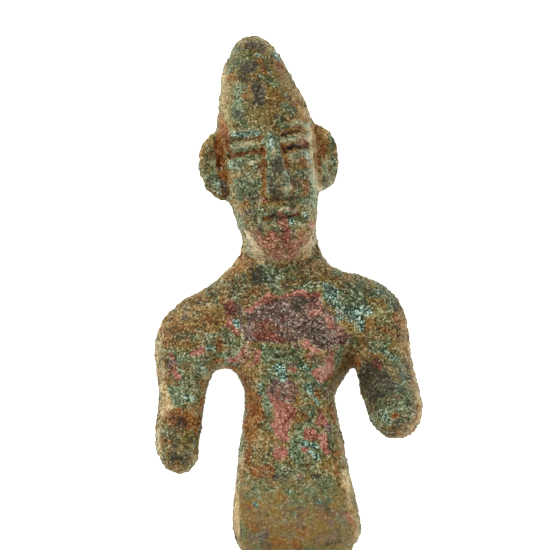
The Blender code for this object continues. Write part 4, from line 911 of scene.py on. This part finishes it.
def crust_relief(points, normals, masks):
    """How far the crust stands out at each point, in millimetres."""
    place = front_place(points)
    facing = front_facing(normals)
    lift = 0.08 * clouds(points, 4.5, 1, 2) + 0.05 * clouds(points, 1.3, 2, 2)
    # Grains half a millimetre apart, taller in turquoise and worn down on bare oxide
    bare = np.maximum(masks["purple"], masks["pink"])
    near, number = nodules(points, 0.5, 3)
    grain = np.clip(1 - near / 0.5, 0, 1) * (number > 0.35)
    lift += (1 - 0.5 * bare) * ((0.08 + 0.07 * masks["turquoise"]) * grain + 0.04 * clouds(points, 0.38, 4))
    # Casting pits, up to a fifth of a millimetre deep
    near, number = nodules(points, 1.15, 5)
    lift -= 0.2 * smooth_step(0.34, 0.12, near) * (number > 0.72)
    lift += 0.17 * rounded_edge(normals) * clouds(points, 0.45, 6)

    # The crust is lost from the chest down to the oxide, and stands up in a lip round the loss
    fray = 0.3 * clouds(points, 1.2, 11, 2)
    loss = field_mask(place, CHEST_LOSS, fray, 0.25) * facing
    lift -= 0.22 * loss + 0.08 * masks["pink"] * (1 - loss)
    lift += 0.26 * stroke_mask(place, LIP, 0.1) * facing
    for x, y, radius, depth in CHIPS:
        lift -= depth * facing * np.exp(-(((place - (x, y)) ** 2).sum(1) / radius**2))
    away = from_gas_hole(place)
    lift += facing * (0.09 * np.exp(-(((away - 0.42) / 0.16) ** 2)) - 0.25 * np.exp(-((away / 0.22) ** 2)))

    # Nothing stands out where it lies
    return lift * smooth_step(0.0, 0.5, points[:, 2])


def corrode(mesh):
    """Gives the smooth casting its corroded relief and notes how much of each crust lies where."""
    points = read_points(mesh)
    shift, hollow, crest = cut_face(points, read_normals(mesh))
    points += shift
    write_points(mesh, points)
    normals = read_normals(mesh)
    sunk = hollowness(mesh, 50)
    masks = crust_masks(points, normals, sunk, hollow, crest)
    points += normals * crust_relief(points, normals, masks)[:, None]
    points[:, 2] = np.maximum(points[:, 2], 0)
    write_points(mesh, points)
    place = front_place(points)
    up = place[:, 1]
    edge = rounded_edge(normals)

    # Low places get painted shade and high ones painted light. The strokes make the crust lighter or darker,
    # partly as painted light and shade, and rounded edges get painted light, a reflection of the white
    # surroundings, most of all on the head and the kilt
    shade = (stroke_mask(place, BRIGHT, 0) - stroke_mask(place, DARKER, 0)) * front_facing(normals)
    rim_light = 0.25 + 0.4 * smooth_step(*RIM_LIGHT_HEAD, up) + 0.35 * smooth_step(*RIM_LIGHT_KILT, up)
    shade += rim_light * edge * (1 - smooth_step(0.02, 0.12, sunk)) * (1 - hollow)
    masks["height"] = np.clip(0.5 - 4.0 * hollowness(mesh, 8), 0, 1) + 0.4 * shade

    # How even the tones of neighbouring grains are. Below 0 they differ more than elsewhere.
    calm = 0.62 * smooth_step(*EVEN_KILT, up) + 0.12 * smooth_step(*EVEN_CAP, up)
    chest = smooth_step(*UNEVEN_CHEST[0], up) * smooth_step(*UNEVEN_CHEST[1], up)
    calm = np.maximum(calm, 0.2 * masks["pink"]) - 0.15 * chest
    masks["calm"] = calm - 0.45 * masks["turquoise"] * (1 - masks["pink"])

    # Loose grains stand thickest on turquoise and on the edges, and hardly on bare oxide
    bare = np.maximum(masks["pink"], hollow)
    grains = 0.4 + 0.4 * masks["turquoise"] + 0.3 * edge + 0.2 * clouds(points, 2.5, 51, 2)
    masks["grains"] = np.clip(grains * (1 - 0.7 * bare), 0, 1) * smooth_step(0.2, 0.6, points[:, 2])
    del masks["olive"]
    for name, values in masks.items():
        layer = mesh.attributes.new(name, "FLOAT", "POINT")
        layer.data.foreach_set("value", values)


def fine_casting(node):
    """The CAD solid's form as a finer, softer skin, corroded."""
    copy = node.data.copy()
    copy.transform(node.matrix_world)
    merge = ("WELD", {"merge_threshold": 1e-6})
    skin = ("REMESH", {"mode": "VOXEL", "voxel_size": SKIN_VOXEL * MM})
    soften = ("SMOOTH", {"factor": 0.5, "iterations": SKIN_PASSES})
    smooth = remade(copy, "smooth_casting", merge, skin, soften)
    corrode(smooth)
    triangles = 2 * len(smooth.polygons)
    thin = ("DECIMATE", {"ratio": min(1, SKIN_TRIANGLES / triangles), "use_collapse_triangulate": True})
    return remade(smooth, "idol_casting", thin)


def from_hex(code):
    """A colour node's value, in linear light, from its sRGB hex."""
    channels = [int(code[i : i + 2], 16) / 255 for i in (1, 3, 5)]
    return (*(c / 12.92 if c <= 0.04045 else ((c + 0.055) / 1.055) ** 2.4 for c in channels), 1.0)


def add_node(tree, kind, inputs=None, **settings):
    """Adds a node with its settings. An input is a value, or another node's output to link."""
    node = tree.nodes.new(kind)
    for key, value in settings.items():
        setattr(node, key, value)
    for key, value in (inputs or {}).items():
        if isinstance(value, bpy.types.NodeSocket):
            tree.links.new(value, node.inputs[key])
        else:
            node.inputs[key].default_value = value
    return node


def per(size):
    """A texture's scale for features of this size in millimetres."""
    return 1 / (size * MM)


# Each crust's tones from its darkest grain to its lightest, and where they lie on that scale
TONES = {
    "olive": ("#2f2500", "#5f5426", "#766c3a", "#aea882"),
    "ochre": ("#3e2a00", "#6f5321", "#876933", "#b49e74"),
    "green": ("#1f2a0c", "#475336", "#626f4d", "#a4b096"),
    "purple": ("#2c1a10", "#54423a", "#746053", "#aa998c"),
    "rust": ("#421a00", "#693d11", "#855321", "#a98351"),
    "turquoise": ("#0e2417", "#42584a", "#6a8b78", "#c6e3d7"),
    "dark": ("#171404", "#363122", "#4a4533", "#7b7862"),
    "red": ("#380f05", "#572a1c", "#7b4232", "#ab7864"),
    "pink": ("#4f2114", "#7b4839", "#9f6755", "#c89b8c"),
    "pale": ("#6c5733", "#93794a", "#b09868", "#dbcda5"),
}
TONE_STOPS = (0.1, 0.42, 0.62, 0.98)


def patinated_bronze():
    """Cast bronze buried for long: a dull, granular carbonate crust with no metal shine left."""
    material = bpy.data.materials.new("patinated_bronze")
    material.use_nodes = True
    tree = material.node_tree
    tree.nodes.clear()
    place = add_node(tree, "ShaderNodeTexCoord").outputs["Object"]

    # Crust grains about a fifth of a millimetre across, each with a tone of its own
    grains = add_node(tree, "ShaderNodeTexVoronoi", {"Vector": place, "Scale": per(0.21)})
    own = add_node(tree, "ShaderNodeSeparateColor", {"Color": grains.outputs["Color"]})
    mottle = add_node(
        tree, "ShaderNodeTexNoise", {"Vector": place, "Scale": per(0.6), "Detail": 4.0, "Roughness": 0.74}
    )
    broad = add_node(tree, "ShaderNodeTexNoise", {"Vector": place, "Scale": per(2.2), "Detail": 1.0})
    clumps = add_node(
        tree, "ShaderNodeTexNoise", {"Vector": place, "Scale": per(1.3), "Detail": 1.0, "Roughness": 0.5}
    )
    clump = add_node(tree, "ShaderNodeSeparateColor", {"Color": clumps.outputs["Color"]})
    height = add_node(tree, "ShaderNodeAttribute", attribute_name="height").outputs["Fac"]
    # Most grains keep to their clump's tone, and a few are much lighter or darker
    odd = add_node(tree, "ShaderNodeMapRange", {"Value": own.outputs[0], "To Min": -1.0, "To Max": 1.0})
    odd = add_node(tree, "ShaderNodeMath", {0: odd.outputs[0], 1: 3.0}, operation="POWER")
    # A grain's tone comes from its own lot, the clumps it is in, how far from its crown it is and how high
    # it stands, so that the gaps between grains and the small hollows get painted shade. The height
    # attribute also carries the painted light and shade of the front.
    tone = -0.18
    for part, weight in (
        (odd.outputs[0], 0.52), (mottle.outputs[0], 0.8), (broad.outputs[0], 0.5),
        (grains.outputs["Distance"], -0.6), (height, 0.7),
    ):
        sum_node = add_node(tree, "ShaderNodeMath", {0: part, 1: weight, 2: tone}, operation="MULTIPLY_ADD")
        tone = sum_node.outputs[0]
    # Bare oxide, the hem and the legs are more even, and turquoise is more broken
    calm = add_node(tree, "ShaderNodeAttribute", attribute_name="calm").outputs["Fac"]
    tone = add_node(
        tree, "ShaderNodeMix", {0: calm, 2: tone, 3: 0.55}, data_type="FLOAT", clamp_factor=False
    ).outputs[0]

    colour = None
    for number, (name, stops) in enumerate(TONES.items()):
        ramp = add_node(tree, "ShaderNodeValToRGB", {"Fac": tone})
        elements = ramp.color_ramp.elements
        elements[0].position, elements[1].position = TONE_STOPS[0], TONE_STOPS[3]
        elements[0].color, elements[1].color = from_hex(stops[0]), from_hex(stops[3])
        for at, code in zip(TONE_STOPS[1:3], stops[1:3]):
            elements.new(at).color = from_hex(code)
        if colour is None:
            colour = ramp.outputs["Color"]
            continue
        # A crust takes the share of the clumps that its attribute says. The crusts are dealt over
        # the clumps' three channels and their low and high ends, so that they lie side by side.
        cover = add_node(tree, "ShaderNodeAttribute", attribute_name=name).outputs["Fac"]
        first, last = (-0.2, -0.75) if number % 2 else (-0.75, -0.2)
        lot = add_node(
            tree, "ShaderNodeMapRange",
            {"Value": clump.outputs[number % 3], "From Min": 0.3, "From Max": 0.7, "To Min": first,
             "To Max": last},
        )
        lot = add_node(
            tree, "ShaderNodeMath", {0: cover, 1: 1.35, 2: lot.outputs[0]}, operation="MULTIPLY_ADD"
        )
        taken = add_node(
            tree, "ShaderNodeMapRange", {"Value": lot.outputs[0], "From Min": -0.25, "From Max": 0.55},
            interpolation_type="SMOOTHSTEP",
        )
        mixed = add_node(
            tree, "ShaderNodeMix", {0: taken.outputs["Result"], 6: colour, 7: ramp.outputs["Color"]},
            data_type="RGBA",
        )
        colour = mixed.outputs[2]

    bump = add_node(tree, "ShaderNodeBump", {"Height": tone, "Strength": 0.8, "Distance": 0.08 * MM})
    shader = add_node(
        tree, "ShaderNodeBsdfPrincipled",
        {"Base Color": colour, "Roughness": 0.6, "Specular IOR Level": 0.22,
         "Normal": bump.outputs["Normal"]},
    )
    add_node(tree, "ShaderNodeOutputMaterial", {"Surface": shader.outputs["BSDF"]})
    return material


def grain_tree(material):
    """Geometry Nodes that sit mineral grains on a skin, thickest where its attribute "grains" is high."""
    tree = bpy.data.node_groups.new("crust_grains", "GeometryNodeTree")
    for name, kind in (
        ("Skin", "NodeSocketGeometry"), ("Grain Radius", "NodeSocketFloat"),
        ("Most per Square Metre", "NodeSocketFloat"), ("Seed", "NodeSocketInt"),
    ):
        tree.interface.new_socket(name, in_out="INPUT", socket_type=kind)
    tree.interface.new_socket("Grains", in_out="OUTPUT", socket_type="NodeSocketGeometry")
    given = add_node(tree, "NodeGroupInput").outputs
    share = add_node(tree, "GeometryNodeInputNamedAttribute", {"Name": "grains"}, data_type="FLOAT")
    density = add_node(
        tree, "ShaderNodeMath", {0: share.outputs["Attribute"], 1: given["Most per Square Metre"]},
        operation="MULTIPLY",
    )
    spots = add_node(
        tree, "GeometryNodeDistributePointsOnFaces",
        {"Mesh": given["Skin"], "Density": density.outputs[0], "Seed": given["Seed"]},
    )
    grain = add_node(
        tree, "GeometryNodeMeshIcoSphere", {"Radius": given["Grain Radius"], "Subdivisions": 1}
    )
    turn = add_node(
        tree, "FunctionNodeRandomValue", {0: (0, 0, 0), 1: (math.tau,) * 3, "Seed": 1},
        data_type="FLOAT_VECTOR",
    )
    squash = add_node(
        tree, "FunctionNodeRandomValue", {0: (0.6,) * 3, 1: (1.3,) * 3, "Seed": 2},
        data_type="FLOAT_VECTOR",
    )
    placed = add_node(
        tree, "GeometryNodeInstanceOnPoints",
        {"Points": spots.outputs["Points"], "Instance": grain.outputs["Mesh"], "Rotation": turn.outputs[0],
         "Scale": squash.outputs[0]},
    )
    # Each grain has a height of its own for the material to take its tone from
    bright = add_node(tree, "FunctionNodeRandomValue", {2: 0.35, 3: 1.0, "Seed": 3}, data_type="FLOAT")
    toned = add_node(
        tree, "GeometryNodeStoreNamedAttribute",
        {"Geometry": placed.outputs["Instances"], "Name": "height", "Value": bright.outputs[1]},
        data_type="FLOAT", domain="INSTANCE",
    )
    real = add_node(tree, "GeometryNodeRealizeInstances", {"Geometry": toned.outputs["Geometry"]})
    finish = add_node(
        tree, "GeometryNodeSetMaterial", {"Geometry": real.outputs["Geometry"], "Material": material}
    )
    add_node(tree, "NodeGroupOutput", {"Grains": finish.outputs["Geometry"]})
    return tree


def light_table():
    """Opal acrylic lit from below: even, white and without shadows."""
    material = bpy.data.materials.new("opal_light_table")
    material.use_nodes = True
    shader = material.node_tree.nodes["Principled BSDF"]
    shader.inputs["Base Color"].default_value = from_hex("#ececec")
    shader.inputs["Roughness"].default_value = 0.6
    shader.inputs["Emission Color"].default_value = from_hex("#ffffff")
    shader.inputs["Emission Strength"].default_value = 0.92
    return material


def add_floor():
    mesh = bpy.data.meshes.new("light_table")
    half, level = 0.45, -0.02 * MM
    corners = [(-half, -half, level), (half, -half, level), (half, half, level), (-half, half, level)]
    mesh.from_pydata(corners, [], [(0, 1, 2, 3)])
    mesh.materials.append(light_table())
    floor = bpy.data.objects.new("light_table", mesh)
    bpy.context.scene.collection.objects.link(floor)


def add_lights():
    world = bpy.data.worlds.new("soft_room")
    world.use_nodes = True
    tree = world.node_tree
    tree.nodes.clear()
    dim = add_node(tree, "ShaderNodeBackground", {"Color": from_hex("#fff4e2"), "Strength": 0.24})
    pale = add_node(tree, "ShaderNodeBackground", {"Color": from_hex("#f6f5f2"), "Strength": 1.0})
    seen = add_node(tree, "ShaderNodeLightPath").outputs["Is Camera Ray"]
    room = add_node(tree, "ShaderNodeMixShader", {0: seen, 1: dim.outputs[0], 2: pale.outputs[0]})
    add_node(tree, "ShaderNodeOutputWorld", {"Surface": room.outputs[0]})
    bpy.context.scene.world = world
    # Two soft boxes: where they hang and how wide they are, in metres, and their power
    for name, place, size, watts in (
        ("soft_key", (-0.22, 0.22, 0.34), 0.2, 2.0),
        ("soft_fill", (0.26, -0.24, 0.28), 0.2, 1.25),
    ):
        lamp = bpy.data.lights.new(name, "AREA")
        lamp.size, lamp.energy = size, watts
        holder = bpy.data.objects.new(name, lamp)
        holder.location = place
        holder.rotation_euler = (-Vector(place)).to_track_quat("-Z", "Y").to_euler()
        bpy.context.scene.collection.objects.link(holder)


def add_camera():
    data = bpy.data.cameras.new("camera")
    data.sensor_width = SENSOR
    data.lens = SENSOR * (CAMERA_HEIGHT - SHARP_DEPTH) / FRAME_WIDTH
    data.clip_start, data.clip_end = 0.01, 10
    camera = bpy.data.objects.new("camera", data)
    camera.location = (CAMERA_OVER[0] * MM, CAMERA_OVER[1] * MM, CAMERA_HEIGHT * MM)
    camera.rotation_euler = (0, 0, CAMERA_ROLL)
    bpy.context.scene.collection.objects.link(camera)
    bpy.context.scene.camera = camera


def add_piece(mesh, name):
    """Puts a finished mesh in the scene as a piece of the casting."""
    piece = bpy.data.objects.new(name, mesh)
    bpy.context.scene.collection.objects.link(piece)
    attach(piece, "root")
    return piece


def crust_grains(skin, material):
    """Separate mineral grains that stand on the skin, made by Geometry Nodes."""
    tree = grain_tree(material)
    carrier = bpy.data.objects.new("grain_carrier", skin)
    bpy.context.scene.collection.objects.link(carrier)
    modifier = carrier.modifiers.new("crust_grains", "NODES")
    modifier.node_group = tree
    most = GRAINS_PER_MM2 / MM**2
    values = {"Grain Radius": GRAIN_RADIUS * MM, "Most per Square Metre": most, "Seed": GRAIN_SEED}
    for item in tree.interface.items_tree:
        if item.name in values:
            modifier[item.identifier] = values[item.name]
    bpy.context.view_layer.update()
    grains = evaluated_copy(carrier, "crust_grains")
    bpy.data.objects.remove(carrier)
    return grains


def add_casting():
    material = patinated_bronze()
    skin = fine_casting(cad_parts["idol"])
    skin.materials.clear()
    skin.materials.append(material)
    skin.shade_smooth()
    grains = crust_grains(skin, material)
    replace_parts(add_piece(skin, "idol_casting"), "idol")
    add_piece(grains, "crust_grains")


add_casting()
add_floor()
add_lights()
add_camera()
bpy.context.scene.view_settings.view_transform = "Standard"
